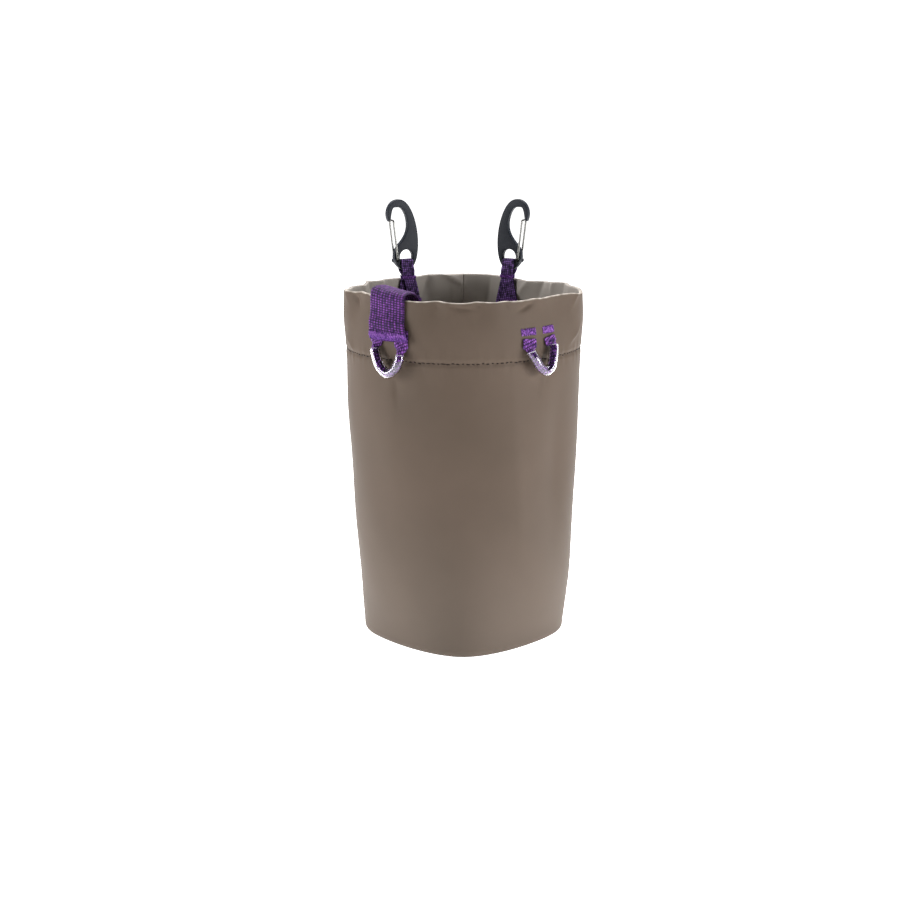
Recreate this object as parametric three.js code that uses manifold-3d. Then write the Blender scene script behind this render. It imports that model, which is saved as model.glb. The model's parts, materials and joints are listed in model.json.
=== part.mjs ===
// Bucket bag for climbing gear: a hemmed tube of coated fabric on a flat base, with two
// wire-gate hooks at the back of the mouth, a wide webbing strap over the rim and two
// webbing tool loops in clear tube.
// Millimetres, +Z up, front towards -Y, origin at the middle of the base on the ground.
// Angles are in degrees round the bag, from 0 at the front, positive towards +X.

import * as THREE from 'three';
import { LoftGeometry } from 'three/addons/geometries/LoftGeometry.js';
import { mergeVertices } from 'three/addons/utils/BufferGeometryUtils.js';
import Module from 'manifold-3d';

const wasm = await Module();
wasm.setup();

const { degToRad, lerp, smoothstep } = THREE.MathUtils;

// Clearance between pieces that touch
const GAP = 0.3;

// Bag
const RIM_HEIGHT = 245;
const FABRIC = 1.5;
const HEM_FABRIC = 2.6;
const HEM_DEPTH = 41;
const HEM_STEP = 3;
const FOOT_RADIUS = 6;
const FOOT_LIP = 9;
const WALL_COLUMNS = 72;
const WALL_ROWS = 15;
const INNER_ROWS = 8;

// Sections of the wall: lean is how far the section sits towards +X, power is 2 for a round
// section and less where the flanks between front, back and sides are flattened
const SECTIONS = [
	{ z: 6, halfWidth: 70.2, reach: 76, lean: 0.5, power: 1.3 },
	{ z: 36, halfWidth: 73, reach: 76.2, lean: 1.2, power: 1.5 },
	{ z: 79, halfWidth: 75.5, reach: 76.8, lean: 0.9, power: 1.7 },
	{ z: 122, halfWidth: 77.9, reach: 78, lean: 0.6, power: 1.8 },
	{ z: 161, halfWidth: 80, reach: 80, lean: -0.4, power: 1.82 },
	{ z: 204, halfWidth: 81.3, reach: 81.5, lean: 0, power: 1.78 },
	{ z: 228, halfWidth: 83.4, reach: 82.5, lean: -0.1, power: 1.7 },
	{ z: 245, halfWidth: 83, reach: 82.5, lean: -0.2, power: 1.62 },
];
// How softly the flattened flanks meet, as a share of the radius
const FLANK_ROUNDING = 0.2;

// Dents and gathers of the mouth: depth is inwards at the rim, drop is how far the rim
// sinks there, run is how far below the rim the fold has died out
const FOLDS = [
	{ angle: 57, spread: 15, depth: 4, drop: 0, run: 60 },
	{ angle: 138, spread: 20, depth: 4, drop: 1.8, run: 70 },
	{ angle: -112, spread: 16, depth: 4, drop: 1.2, run: 60 },
	{ angle: -148, spread: 12, depth: 0, drop: 1, run: 30 },
	{ angle: -66, spread: 6, depth: 3, drop: -0.6, run: 25 },
	{ angle: -13, spread: 5, depth: 2, drop: -0.6, run: 24 },
	{ angle: 8, spread: 4.5, depth: 1.5, drop: -0.5, run: 20 },
	{ angle: 103, spread: 7, depth: 3, drop: 0.5, run: 30 },
	{ angle: -92, spread: 6, depth: 2.5, drop: 0.4, run: 26 },
];

// Strap over the rim: out is from the wall's outer face, up is from the rim, side is to the right,
// and tilt is how much lower the right edge is than the left one
const RIM_STRAP = { angle: -39.6, width: 30, thickness: 1.8, columns: 6, stations: 22 };
const RIM_STRAP_PATH = [
	{ out: 3.7, up: -27.5, side: 0.9, tilt: 0 },
	{ out: 3.5, up: -17, side: 0.7, tilt: 0 },
	{ out: 1.6, up: -10, side: 0.3, tilt: 0 },
	{ out: 1.6, up: 1, side: 0, tilt: 0 },
	{ out: -1, up: 4.2, side: 0, tilt: 1.7 },
	{ out: -7, up: 5.5, side: 0, tilt: 2.6 },
	{ out: -14, up: 3.8, side: 0, tilt: 2.9 },
	{ out: -18, up: -1.8, side: 0, tilt: 1.5 },
	{ out: -17.5, up: -14, side: 0, tilt: 0 },
	{ out: -11, up: -28, side: 0, tilt: 0 },
	{ out: -4.4, up: -38, side: 0, tilt: 0 },
];

// Tool loops: along is to the right of the loop's angle, down is below the rim and out is from the
// wall's outer face. The two ends of the sleeve are below the rim, and the webbing is bunched in it
const LOOP_WEBBING = { width: 11, thickness: 1.5 };
const BUNCHED_WEBBING = { width: 3.8, thickness: 2.2 };
const SLEEVE = { outerRadius: 3.35, innerRadius: 2.7, sides: 12, steps: 16 };
const LOOP_STATIONS = 28;
const LOOPS = {
	left: {
		angle: -37.7,
		sleeveEnds: [34, 36.5],
		line: [
			{ along: -11.6, down: 20, out: 1.05 },
			{ along: -11.6, down: 27, out: 1.2 },
			{ along: -10.4, down: 34, out: 4 },
			{ along: -6, down: 41.5, out: 6.2 },
			{ along: -2.6, down: 46.2, out: 6.5 },
			{ along: 2.6, down: 49, out: 6.5 },
			{ along: 7.9, down: 45.6, out: 6.5 },
			{ along: 10.4, down: 40.4, out: 6 },
			{ along: 10.6, down: 36, out: 4.4 },
			{ along: 9.9, down: 28, out: 1.3 },
			{ along: 9.9, down: 20, out: 1.05 },
		],
	},
	right: {
		angle: 41.2,
		sleeveEnds: [34.5, 32],
		line: [
			{ along: -10.4, down: 25.8, out: 1.25 },
			{ along: -10.6, down: 29, out: 1.5 },
			{ along: -11, down: 34.5, out: 4 },
			{ along: -8.7, down: 39.7, out: 6 },
			{ along: -5.2, down: 45.1, out: 6.5 },
			{ along: -0.5, down: 48, out: 6.5 },
			{ along: 3.8, down: 45.7, out: 6.5 },
			{ along: 5.8, down: 41.5, out: 6 },
			{ along: 9.2, down: 32.4, out: 4.1 },
			{ along: 8.9, down: 28.8, out: 1.5 },
			{ along: 8.4, down: 26, out: 1.25 },
		],
	},
};
// Where an arm bunches, as shares of its way from the sewn end to the sleeve
const BUNCHING = { starts: 0.5, ends: 0.95 };

// Hooks: angle and radius place the middle of the eye round the bag, turn is about the vertical,
// and the right hook is the left one turned round
const HOOK_EYE_HEIGHT = 259.5;
const HOOKS = {
	left: { angle: -145.4, radius: 73, turn: 30 },
	right: { angle: 151.4, radius: 71, turn: 150 },
};
const HOOK_THICKNESS = 3.8;
const HOOK_BEVEL = 0.4;
const HOOK_CURVE_STEPS = 5;

// Outline of the hook in x and z from the tip of its nose: each curve leaves and arrives by its
// handles, and the seat, where the hook bears when it hangs, is straight
const NOSE_TIP = [-13.6, 25.8];
const HOOK_CURVES = [
	{ part: 'nose', leave: [-17.2, 31], arrive: [-14.5, 40.8], end: [-5.5, 40.8] },
	{ part: 'spine', leave: [3.5, 40.8], arrive: [9.9, 24], end: [9.9, 9.4] },
	{ part: 'foot', leave: [9.9, -2], arrive: [7, -9.6], end: [0, -9.6] },
	{ part: 'lobe', leave: [-5.4, -9.6], arrive: [-9.6, -4.6], end: [-9.6, 0.2] },
	{ part: 'lobe top', leave: [-9.6, 3.6], arrive: [-7.9, 6.8], end: [-6.4, 8.4] },
	{ part: 'inner foot', leave: [-3, 11.8], arrive: [1.3, 16], end: [1.3, 22.6] },
	{ part: 'inner spine', leave: [1.3, 29], arrive: [-2, 35.7], end: [-6, 35.7] },
	{ part: 'seat', end: [-9, 35.7] },
	{ part: 'inner nose', leave: [-11.8, 35.7], arrive: [-12.2, 30.8], end: [-12.8, 27] },
];
const EYE = { left: -5.1, right: 5.5, bottom: -3 };
const PIVOT = { x: -7.3, z: -2.2, holeRadius: 1.15, sides: 12 };
const GUARD = { innerRadius: 1.35, outerRadius: 2.2, height: 1.3, sink: 0.4, from: 155, to: 285 };
const WIRE = { radius: 0.75, sides: 8, steps: 44, corner: 1.4, endDepth: 0.3 };
const GATE = { legOffset: 2.95, topX: -11, topZ: 26.5 };

// Webbing that carries each hook, doubled round the bar under the eye: middle is its place in
// the eye, bend the radius of its turn over the bar
const TAB = { width: 10, thickness: 1.2, middle: 0.2, bend: 1.2 };
// Rows of one leg, from its end up to the bar: off is from the middle plane, drift is towards the
// spine, fan parts the two legs
const TAB_LEG = [
	{ z: -34, off: 0.95, drift: 2.6, fan: 4.8 },
	{ z: -20, off: 0.95, drift: 2.4, fan: 1.6 },
	{ z: -14, off: 0.95, drift: 2.1, fan: 0 },
	{ z: -10, off: 2.8, drift: 1, fan: 0 },
];

const COLOURS = {
	fabric: { color: 0x7a6c61, roughness: 0.55, metalness: 0 },
	webbing: { color: 0x55367a, roughness: 0.8, metalness: 0 },
	tube: { color: 0xcfc6dc, roughness: 0.15, metalness: 0 },
	hook: { color: 0x3b3e42, roughness: 0.5, metalness: 0 },
	wire: { color: 0xb9bcc0, roughness: 0.25, metalness: 1 },
};

// Only positions are kept and shared corners are merged, so that the surface is closed
function closed(geometry) {
	const surface = new THREE.BufferGeometry().copy(geometry);
	surface.deleteAttribute('normal');
	surface.deleteAttribute('uv');
	return mergeVertices(surface, 1e-4);
}

function toSolid(geometry) {
	const merged = closed(geometry);
	return new wasm.Manifold(new wasm.Mesh({
		numProp: 3,
		vertProperties: new Float32Array(merged.attributes.position.array),
		triVerts: new Uint32Array(merged.index.array),
	}));
}

function fromSolid(solid) {
	const mesh = solid.getMesh();
	const geometry = new THREE.BufferGeometry();
	geometry.setAttribute('position', new THREE.BufferAttribute(mesh.vertProperties, 3));
	geometry.setIndex(new THREE.BufferAttribute(mesh.triVerts, 1));
	return geometry;
}

// Shape of the bag's wall

const sectionSizes = new THREE.CubicInterpolant(
	SECTIONS.map((row) => row.z),
	SECTIONS.flatMap((row) => [row.halfWidth, row.reach, row.lean, row.power]),
	4,
);

function foldSum(column, degrees, z) {
	let sum = 0;
	for (const fold of FOLDS) {
		const away = THREE.MathUtils.euclideanModulo(degrees - fold.angle + 180, 360) - 180;
		const bell = Math.exp(-((away / fold.spread) ** 2));
		sum += fold[column] * bell * smoothstep(z, RIM_HEIGHT - fold.run, RIM_HEIGHT);
	}
	return sum;
}

// Radius of a section with flattened flanks, as a share of the ellipse's
function flattened(angle, power) {
	const soft = (share) => Math.hypot(share, FLANK_ROUNDING) ** power;
	const here = soft(Math.sin(angle)) + soft(Math.cos(angle));
	const atFront = soft(0) + soft(1);
	return (here / atFront) ** (-1 / power);
}

// Radius of the wall's outer face
function wallRadius(degrees, z) {
	const angle = degToRad(degrees);
	const [halfWidth, reach, lean, power] = sectionSizes.evaluate(z);
	const ellipse = 1 / Math.hypot(Math.sin(angle) / halfWidth, Math.cos(angle) / reach);
	const section = ellipse * flattened(angle, power);
	return section + lean * Math.sin(angle) - foldSum('depth', degrees, z);
}

function roundBag(degrees, radius, z) {
	const angle = degToRad(degrees);
	return new THREE.Vector3(radius * Math.sin(angle), -radius * Math.cos(angle), z);
}

// Level ring of the wall, inset from its outer face
function wallRing(z, inset) {
	return Array.from({ length: WALL_COLUMNS }, (_, column) => {
		const degrees = (360 * column) / WALL_COLUMNS;
		const height = z - foldSum('drop', degrees, z);
		return roundBag(degrees, wallRadius(degrees, z) - inset, height);
	});
}

// Outline of the wall's section from the edge under the bag, up the outside, over the rim
// and down the inside
function wallOutline() {
	const outline = [{ z: 0, inset: FOOT_LIP }];
	for (const turn of [0, 30, 60]) {
		const angle = degToRad(turn);
		outline.push({
			z: FOOT_RADIUS * (1 - Math.cos(angle)),
			inset: FOOT_RADIUS * (1 - Math.sin(angle)),
		});
	}
	const rimRadius = HEM_FABRIC / 2;
	const rimFoot = RIM_HEIGHT - rimRadius;
	for (let row = 0; row <= WALL_ROWS; row++) {
		outline.push({ z: lerp(FOOT_RADIUS, rimFoot, row / WALL_ROWS), inset: 0 });
	}
	for (const turn of [45, 90, 135, 180]) {
		const angle = degToRad(turn);
		outline.push({
			z: rimFoot + rimRadius * Math.sin(angle),
			inset: rimRadius * (1 - Math.cos(angle)),
		});
	}
	const hemEnd = RIM_HEIGHT - HEM_DEPTH;
	for (const share of [0.35, 0.7, 1]) {
		outline.push({ z: lerp(rimFoot, hemEnd, share), inset: HEM_FABRIC });
	}
	for (let row = 0; row <= INNER_ROWS; row++) {
		outline.push({ z: lerp(hemEnd - HEM_STEP, FOOT_RADIUS, row / INNER_ROWS), inset: FABRIC });
	}
	outline.push({ z: FABRIC, inset: FOOT_RADIUS });
	outline.push({ z: FABRIC, inset: FOOT_LIP });
	return outline;
}

function bagWall() {
	const outline = wallOutline();
	const rings = [...outline, outline[0]].map(({ z, inset }) => wallRing(z, inset));
	return closed(new LoftGeometry(rings));
}

function bagBase() {
	const ring = wallRing(0, FOOT_LIP + GAP).map((point) => new THREE.Vector2(point.x, point.y));
	const panel = new THREE.ExtrudeGeometry(new THREE.Shape(ring), { depth: FABRIC, bevelEnabled: false });
	return closed(panel);
}

// Webbing

// Flat section with thin edges, counterclockwise
function webbingSection(width, thickness, columns) {
	const flat = width / 2 - thickness / 2;
	const row = Array.from({ length: columns + 1 }, (_, column) => lerp(-flat, flat, column / columns));
	return [
		{ across: -width / 2, off: 0 },
		...row.map((across) => ({ across, off: -thickness / 2 })),
		{ across: width / 2, off: 0 },
		...row.toReversed().map((across) => ({ across, off: thickness / 2 })),
	];
}

function rimStrap() {
	const { angle, width, thickness, columns, stations } = RIM_STRAP;
	const spline = (pick) => new THREE.SplineCurve(RIM_STRAP_PATH.map(pick));
	const path = spline(({ out, up }) => new THREE.Vector2(out, up));
	const sway = spline(({ side, tilt }) => new THREE.Vector2(side, tilt));
	const section = webbingSection(width, thickness, columns);
	const radius = wallRadius(angle, RIM_HEIGHT);
	const rings = Array.from({ length: stations + 1 }, (_, station) => {
		const along = path.getUtoTmapping(station / stations);
		const middle = path.getPoint(along);
		const tangent = path.getTangent(along);
		const { x: side, y: tilt } = sway.getPoint(along);
		return section.map(({ across, off }) => {
			const degrees = angle + THREE.MathUtils.radToDeg((side - across) / radius);
			const out = middle.x + tangent.y * off;
			const z = RIM_HEIGHT + middle.y - tangent.x * off + (tilt * across) / width;
			return roundBag(degrees, wallRadius(degrees, Math.min(z, RIM_HEIGHT)) + out, z);
		});
	});
	return closed(new LoftGeometry(rings, { capStart: true, capEnd: true }));
}

// Middle line of a tool loop: flat on the wall at both ends, standing off at the bend
function loopCurve({ angle, line }) {
	return new THREE.CatmullRomCurve3(line.map(({ along, down, out }) => {
		const z = RIM_HEIGHT - down;
		const degrees = angle + THREE.MathUtils.radToDeg(along / wallRadius(angle, z));
		return roundBag(degrees, wallRadius(degrees, z) + out, z);
	}));
}

// Shares of the curve's length at which its two arms enter the sleeve
function sleeveShares(curve, [first, last]) {
	const samples = 400;
	const points = curve.getSpacedPoints(samples);
	return [
		points.findIndex((point) => point.z <= RIM_HEIGHT - first) / samples,
		points.findLastIndex((point) => point.z <= RIM_HEIGHT - last) / samples,
	];
}

function toolLoop(loop) {
	const curve = loopCurve(loop);
	const [first, last] = sleeveShares(curve, loop.sleeveEnds);
	const rings = Array.from({ length: LOOP_STATIONS + 1 }, (_, station) => {
		const along = station / LOOP_STATIONS;
		const towardsSleeve = Math.min(along / first, (1 - along) / (1 - last));
		const bunched = smoothstep(towardsSleeve, BUNCHING.starts, BUNCHING.ends);
		const middle = curve.getPointAt(along);
		const tangent = curve.getTangentAt(along);
		const outward = new THREE.Vector3(middle.x, middle.y, 0);
		const across = new THREE.Vector3().crossVectors(outward, tangent).normalize();
		const normal = new THREE.Vector3().crossVectors(tangent, across);
		const section = webbingSection(
			lerp(LOOP_WEBBING.width, BUNCHED_WEBBING.width, bunched),
			lerp(LOOP_WEBBING.thickness, BUNCHED_WEBBING.thickness, bunched),
			1,
		);
		return section.map((point) => middle.clone()
			.addScaledVector(across, point.across)
			.addScaledVector(normal, point.off));
	});
	return closed(new LoftGeometry(rings, { capStart: true, capEnd: true }));
}

function circle(radius, sides) {
	return Array.from({ length: sides }, (_, side) => {
		const angle = (2 * Math.PI * side) / sides;
		return new THREE.Vector2(radius * Math.cos(angle), radius * Math.sin(angle));
	});
}

function loopSleeve(loop) {
	const curve = loopCurve(loop);
	const [first, last] = sleeveShares(curve, loop.sleeveEnds);
	const { outerRadius, innerRadius, sides, steps } = SLEEVE;
	const stretch = Array.from({ length: steps + 1 }, (_, step) => {
		return curve.getPointAt(lerp(first, last, step / steps));
	});
	const tube = new THREE.Shape(circle(outerRadius, sides));
	tube.holes.push(new THREE.Path(circle(innerRadius, sides)));
	const extrudePath = new THREE.CatmullRomCurve3(stretch);
	return closed(new THREE.ExtrudeGeometry(tube, { steps, extrudePath }));
}

// Hooks, each in its own frame: x towards the spine, y through the hook, z up from the eye

// A shape drawn in x and z, thickened evenly about y = 0
function plate(shape, thickness, bevel) {
	const geometry = new THREE.ExtrudeGeometry(shape, {
		depth: thickness - 2 * bevel,
		bevelEnabled: bevel > 0,
		bevelThickness: bevel,
		bevelSize: bevel,
		bevelOffset: -bevel,
		bevelSegments: 1,
		curveSegments: HOOK_CURVE_STEPS,
	});
	geometry.translate(0, 0, bevel - thickness / 2);
	geometry.rotateX(Math.PI / 2);
	return geometry;
}

function hookOutline() {
	const outline = new THREE.Shape();
	outline.moveTo(...NOSE_TIP);
	for (const { leave, arrive, end } of HOOK_CURVES) {
		if (leave) {
			outline.bezierCurveTo(...leave, ...arrive, ...end);
		} else {
			outline.lineTo(...end);
		}
	}

	const eye = new THREE.Path();
	const middle = (EYE.left + EYE.right) / 2;
	const radius = (EYE.right - EYE.left) / 2;
	eye.moveTo(EYE.left, EYE.bottom);
	eye.lineTo(EYE.right, EYE.bottom);
	eye.absarc(middle, 0, radius, 0, Math.PI);
	outline.holes.push(eye);
	return outline;
}

// Low wall round the wire's end, on both faces of the foot
function guardOutline() {
	const { innerRadius, outerRadius, from, to } = GUARD;
	const guard = new THREE.Shape();
	guard.absarc(PIVOT.x, PIVOT.z, outerRadius, degToRad(from), degToRad(to), false);
	guard.absarc(PIVOT.x, PIVOT.z, innerRadius, degToRad(to), degToRad(from), true);
	return guard;
}

function hook() {
	let solid = toSolid(plate(hookOutline(), HOOK_THICKNESS, HOOK_BEVEL));
	const standsAt = HOOK_THICKNESS / 2 + (GUARD.height - GUARD.sink) / 2;
	for (const face of [-1, 1]) {
		const guard = plate(guardOutline(), GUARD.height + GUARD.sink, 0);
		guard.translate(0, face * standsAt, 0);
		solid = solid.add(toSolid(guard));
	}
	const { x, z, holeRadius, sides } = PIVOT;
	const bore = new THREE.CylinderGeometry(holeRadius, holeRadius, 2 * HOOK_THICKNESS, sides);
	bore.translate(x, 0, z);
	return fromSolid(solid.subtract(toSolid(bore)));
}

// Straight runs joined by round corners
function roundedPath(points, corner) {
	const path = new THREE.CurvePath();
	let from = points[0];
	for (let index = 1; index < points.length - 1; index++) {
		const point = points[index];
		const reach = (other) => point.clone().add(other.clone().sub(point).setLength(corner));
		const enter = reach(points[index - 1]);
		const leave = reach(points[index + 1]);
		path.add(new THREE.LineCurve3(from, enter));
		path.add(new THREE.QuadraticBezierCurve3(enter, point, leave));
		from = leave;
	}
	path.add(new THREE.LineCurve3(from, points.at(-1)));
	return path;
}

// Wire from the pivot hole, up one face, across under the nose and down the other face
function gate() {
	const { legOffset, topX, topZ } = GATE;
	const half = [
		new THREE.Vector3(PIVOT.x, -WIRE.endDepth, PIVOT.z),
		new THREE.Vector3(PIVOT.x, -legOffset, PIVOT.z),
		new THREE.Vector3(topX, -legOffset, topZ),
	];
	const mirror = new THREE.Vector3(1, -1, 1);
	const otherHalf = half.toReversed().map((point) => point.clone().multiply(mirror));
	return closed(new THREE.ExtrudeGeometry(new THREE.Shape(circle(WIRE.radius, WIRE.sides)), {
		steps: WIRE.steps,
		extrudePath: roundedPath([...half, ...otherHalf], WIRE.corner),
	}));
}

// Webbing doubled round the bar under the eye, its two legs fanned apart at their ends
function hookTab() {
	const { width, thickness, middle, bend } = TAB;
	const clear = GAP + thickness / 2;
	const wrap = HOOK_THICKNESS / 2 + clear;
	const top = EYE.bottom + clear;
	const leg = TAB_LEG.map((row) => ({ ...row, y: -row.off }));
	for (const turn of [0, 45, 90]) {
		const angle = degToRad(turn);
		const y = -wrap + bend * (1 - Math.cos(angle));
		const z = top - bend * (1 - Math.sin(angle));
		leg.push({ y, z, drift: 0, fan: 0 });
	}
	const back = leg.toReversed().map((row) => ({ ...row, y: -row.y, fan: -row.fan }));
	const rows = [...leg, ...back];
	const section = webbingSection(width, thickness, 1);
	const rings = rows.map((row, index) => {
		const before = rows[Math.max(index - 1, 0)];
		const after = rows[Math.min(index + 1, rows.length - 1)];
		const tangent = new THREE.Vector2(after.y - before.y, after.z - before.z).normalize();
		return section.map(({ across, off }) => new THREE.Vector3(
			middle - across + row.drift + row.fan,
			row.y - tangent.y * off,
			row.z + tangent.x * off,
		));
	});
	return closed(new LoftGeometry(rings, { capStart: true, capEnd: true }));
}

// Assembly

function piece(name, geometry, finish) {
	const mesh = new THREE.Mesh(geometry, new THREE.MeshStandardMaterial(COLOURS[finish]));
	mesh.name = name;
	return mesh;
}

const bag = new THREE.Group();
bag.add(piece('bag_wall', bagWall(), 'fabric'));
bag.add(piece('bag_base', bagBase(), 'fabric'));
bag.add(piece('rim_strap', rimStrap(), 'webbing'));

for (const [side, loop] of Object.entries(LOOPS)) {
	bag.add(piece(`tool_loop_${side}`, toolLoop(loop), 'webbing'));
	bag.add(piece(`loop_sleeve_${side}`, loopSleeve(loop), 'tube'));
}

for (const [side, { angle, radius, turn }] of Object.entries(HOOKS)) {
	const carrier = new THREE.Group();
	carrier.position.copy(roundBag(angle, radius, HOOK_EYE_HEIGHT));
	carrier.rotation.z = degToRad(turn);
	carrier.add(piece(`hook_${side}`, hook(), 'hook'));
	carrier.add(piece(`gate_${side}`, gate(), 'wire'));
	carrier.add(piece(`hook_strap_${side}`, hookTab(), 'webbing'));
	bag.add(carrier);
}

export default bag;
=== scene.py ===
# %% [markdown]
# # A bucket bag for climbing gear
# The bag is a hemmed tube of coated fabric on a flat base. Two wire-gate hooks stand at the back of
# its mouth on webbing tabs, a wide strap arches over the rim, and two tool loops hang in clear tube.
# This lesson dresses the solids of that bag. Every piece is made again as a fine mesh in the same
# place, and the stitches, bartacks and wires follow paths in Geometry Nodes.

# %% Frame
import json
import math

import bmesh
import bpy
import numpy as np
from mathutils import Matrix, Vector
from mathutils.bvhtree import BVHTree


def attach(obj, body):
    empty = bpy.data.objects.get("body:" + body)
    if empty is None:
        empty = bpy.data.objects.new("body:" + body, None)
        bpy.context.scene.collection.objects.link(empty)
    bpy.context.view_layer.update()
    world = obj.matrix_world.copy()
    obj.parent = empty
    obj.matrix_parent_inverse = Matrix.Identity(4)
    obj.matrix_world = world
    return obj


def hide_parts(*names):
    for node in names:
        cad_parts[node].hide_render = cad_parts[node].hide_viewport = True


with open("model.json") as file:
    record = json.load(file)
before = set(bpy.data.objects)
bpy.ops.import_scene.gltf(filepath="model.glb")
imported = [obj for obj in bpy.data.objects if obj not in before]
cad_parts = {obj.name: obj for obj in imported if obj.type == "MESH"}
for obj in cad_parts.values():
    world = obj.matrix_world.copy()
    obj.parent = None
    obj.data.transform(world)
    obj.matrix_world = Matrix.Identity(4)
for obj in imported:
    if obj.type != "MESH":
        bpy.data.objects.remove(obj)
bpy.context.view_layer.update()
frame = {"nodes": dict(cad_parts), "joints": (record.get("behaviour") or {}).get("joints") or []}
MM = 0.001
scene = bpy.context.scene
print("nodes", sorted(frame["nodes"]))

# %% [markdown]
# ## Camera
# The camera comes first, because it decides what has to be right. It stands 1.6 m in front of the bag
# and looks down by about eleven degrees. A small shift puts the bag's middle on the pixel column that
# it has in the photograph, without turning the camera.

# %% Camera
IMAGE_SIDE = 900
BAG_COLUMN = 463
CAMERA_PLACE = Vector((0, -1600, 450.8)) * MM
CAMERA_PITCH = math.radians(11.33)
LENS = 92.96

camera_data = bpy.data.cameras.new("camera")
camera_data.lens = LENS
camera_data.sensor_width = 36
camera_data.shift_x = (IMAGE_SIDE / 2 - BAG_COLUMN) / IMAGE_SIDE
camera = bpy.data.objects.new("camera", camera_data)
camera.location = CAMERA_PLACE
camera.rotation_euler = (math.pi / 2 - CAMERA_PITCH, 0, 0)
scene.collection.objects.link(camera)
scene.camera = camera
print("camera at", tuple(camera.location), "shift", round(camera_data.shift_x, 4))

# %% [markdown]
# ## Colours and nodes
# Colours are easiest to pick as the hex values that a screen shows, but shaders work in linear light,
# so one function converts them. A second small function adds a node to any tree, sets its properties
# and either sets or links its inputs. Shaders and Geometry Nodes both use it. The few combinations that
# come back in every material, such as noise of a real size, get a short name of their own.

# %% Helpers for nodes
def linear(hex_colour):
    """Linear RGBA of an sRGB colour such as "7a6c61"."""
    values = [int(hex_colour[i:i + 2], 16) / 255 for i in (0, 2, 4)]
    return (*[v / 12.92 if v <= 0.04045 else ((v + 0.055) / 1.055) ** 2.4 for v in values], 1)


def add(tree, kind, inputs=None, **settings):
    """A new node with its properties set, and each input, by name or number, set or linked."""
    node = tree.nodes.new(kind)
    for name, value in settings.items():
        setattr(node, name, value)
    for name, value in (inputs or {}).items():
        if isinstance(value, bpy.types.NodeSocket):
            tree.links.new(value, node.inputs[name])
        else:
            node.inputs[name].default_value = value
    return node


def new_material(name):
    """An empty material and its tree."""
    material = bpy.data.materials.new(name)
    material.use_nodes = True
    material.node_tree.nodes.clear()
    return material, material.node_tree


def noise(tree, size, detail=2):
    """Noise in the object's own space, with features of about a size in metres."""
    where = add(tree, "ShaderNodeTexCoord").outputs["Object"]
    return add(tree, "ShaderNodeTexNoise", {"Vector": where, "Scale": 1 / size,
                                            "Detail": detail}).outputs["Fac"]


def stored(tree, name):
    """A value that the mesh carries for each point."""
    return add(tree, "ShaderNodeAttribute", attribute_name=name).outputs["Fac"]


def blend(tree, share, first, second):
    """A colour between two, each a hex value or the output of a node."""
    colours = [linear(colour) if isinstance(colour, str) else colour for colour in (first, second)]
    return add(tree, "ShaderNodeMix", {0: share, 6: colours[0], 7: colours[1]}, data_type="RGBA").outputs[2]


def ranged(tree, value, low, high, start=0.0, stop=1.0):
    """A value that goes from low to high while another goes from start to stop."""
    return add(tree, "ShaderNodeMapRange", {"Value": value, "From Min": start, "From Max": stop,
                                            "To Min": low, "To Max": high}).outputs[0]


def bumped(tree, height, strength, distance):
    """Normals of a surface with that relief."""
    return add(tree, "ShaderNodeBump", {"Height": height, "Strength": strength,
                                        "Distance": distance}).outputs["Normal"]


def surface(tree, inputs):
    """End a material with a Principled shader."""
    shader = add(tree, "ShaderNodeBsdfPrincipled", inputs)
    add(tree, "ShaderNodeOutputMaterial", {"Surface": shader.outputs[0]})


# %% [markdown]
# ## Coated fabric
# The body is polyester cloth with a smooth coating, as on a roll-top dry bag. The coating hides most of
# the weave and leaves a nearly matt skin with soft, wide highlights. A little uneven tone and a shallow,
# leathery grain keep it from looking like moulded plastic. A pale colour is painted along the rim's top
# edge, mostly at the front, as a painted highlight, and faintly up from the foot as painted light from the
# floor; the mesh carries both as one value for each point. The back of the cloth, which lines the bag, is
# greyer, and it is painted much lighter than the outside, as painted light inside the mouth; the mesh
# carries that as a second value.

# %% Coated fabric
FABRIC_CLOUD = 60 * MM
FABRIC_GRAIN = 1.6 * MM
# The threads are about 0.4 mm apart; they are drawn at twice that, so that they show at all
FABRIC_THREAD = 0.8 * MM
# How much the threads stand out beside the grain
THREAD_SHARE = 0.15


def coated_polyester():
    material, tree = new_material("coated_polyester_taupe")
    clouds = noise(tree, FABRIC_CLOUD, 3)
    tone = blend(tree, clouds, "40372f", "4c4139")
    # The inside faces are painted a much lighter colour, as painted light inside the mouth
    with_lit_lining = blend(tree, stored(tree, "painted_lit_lining"), tone, "8f8983")
    # A pale colour painted on as a highlight along the rim and as light from the floor near the foot
    with_painted_light = blend(tree, stored(tree, "painted_light"), with_lit_lining, "d6cec4")
    flat = add(tree, "ShaderNodeTexCoord").outputs["UV"]
    threads = add(tree, "ShaderNodeTexChecker", {"Vector": flat, "Scale": 1 / FABRIC_THREAD})
    height = add(tree, "ShaderNodeMath", {0: threads.outputs["Fac"], 1: THREAD_SHARE,
                                          2: noise(tree, FABRIC_GRAIN)}, operation="MULTIPLY_ADD")
    surface(tree, {"Base Color": with_painted_light, "Roughness": ranged(tree, clouds, 0.5, 0.6), "IOR": 1.47,
                   "Specular IOR Level": 0.06, "Normal": bumped(tree, height.outputs[0], 0.1, 0.2 * MM)})
    return material


FABRIC = coated_polyester()
print("made", FABRIC.name)

# %% [markdown]
# ## Webbing and thread
# The straps are woven polyester webbing, dyed purple. Its ribs and floats are modelled, and the shader
# paints shade into the dips between them, which the mesh stores as `dip`, and adds the fine slant of the
# fibres. The hook tabs are dyed darkest and the tool loops brightest. Each bartack is one lilac thread in
# two copies: a lighter one on top that shines a little, as painted light, over a darker ground, as painted
# shade. The hem is sewn with a dark brown thread.

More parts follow.
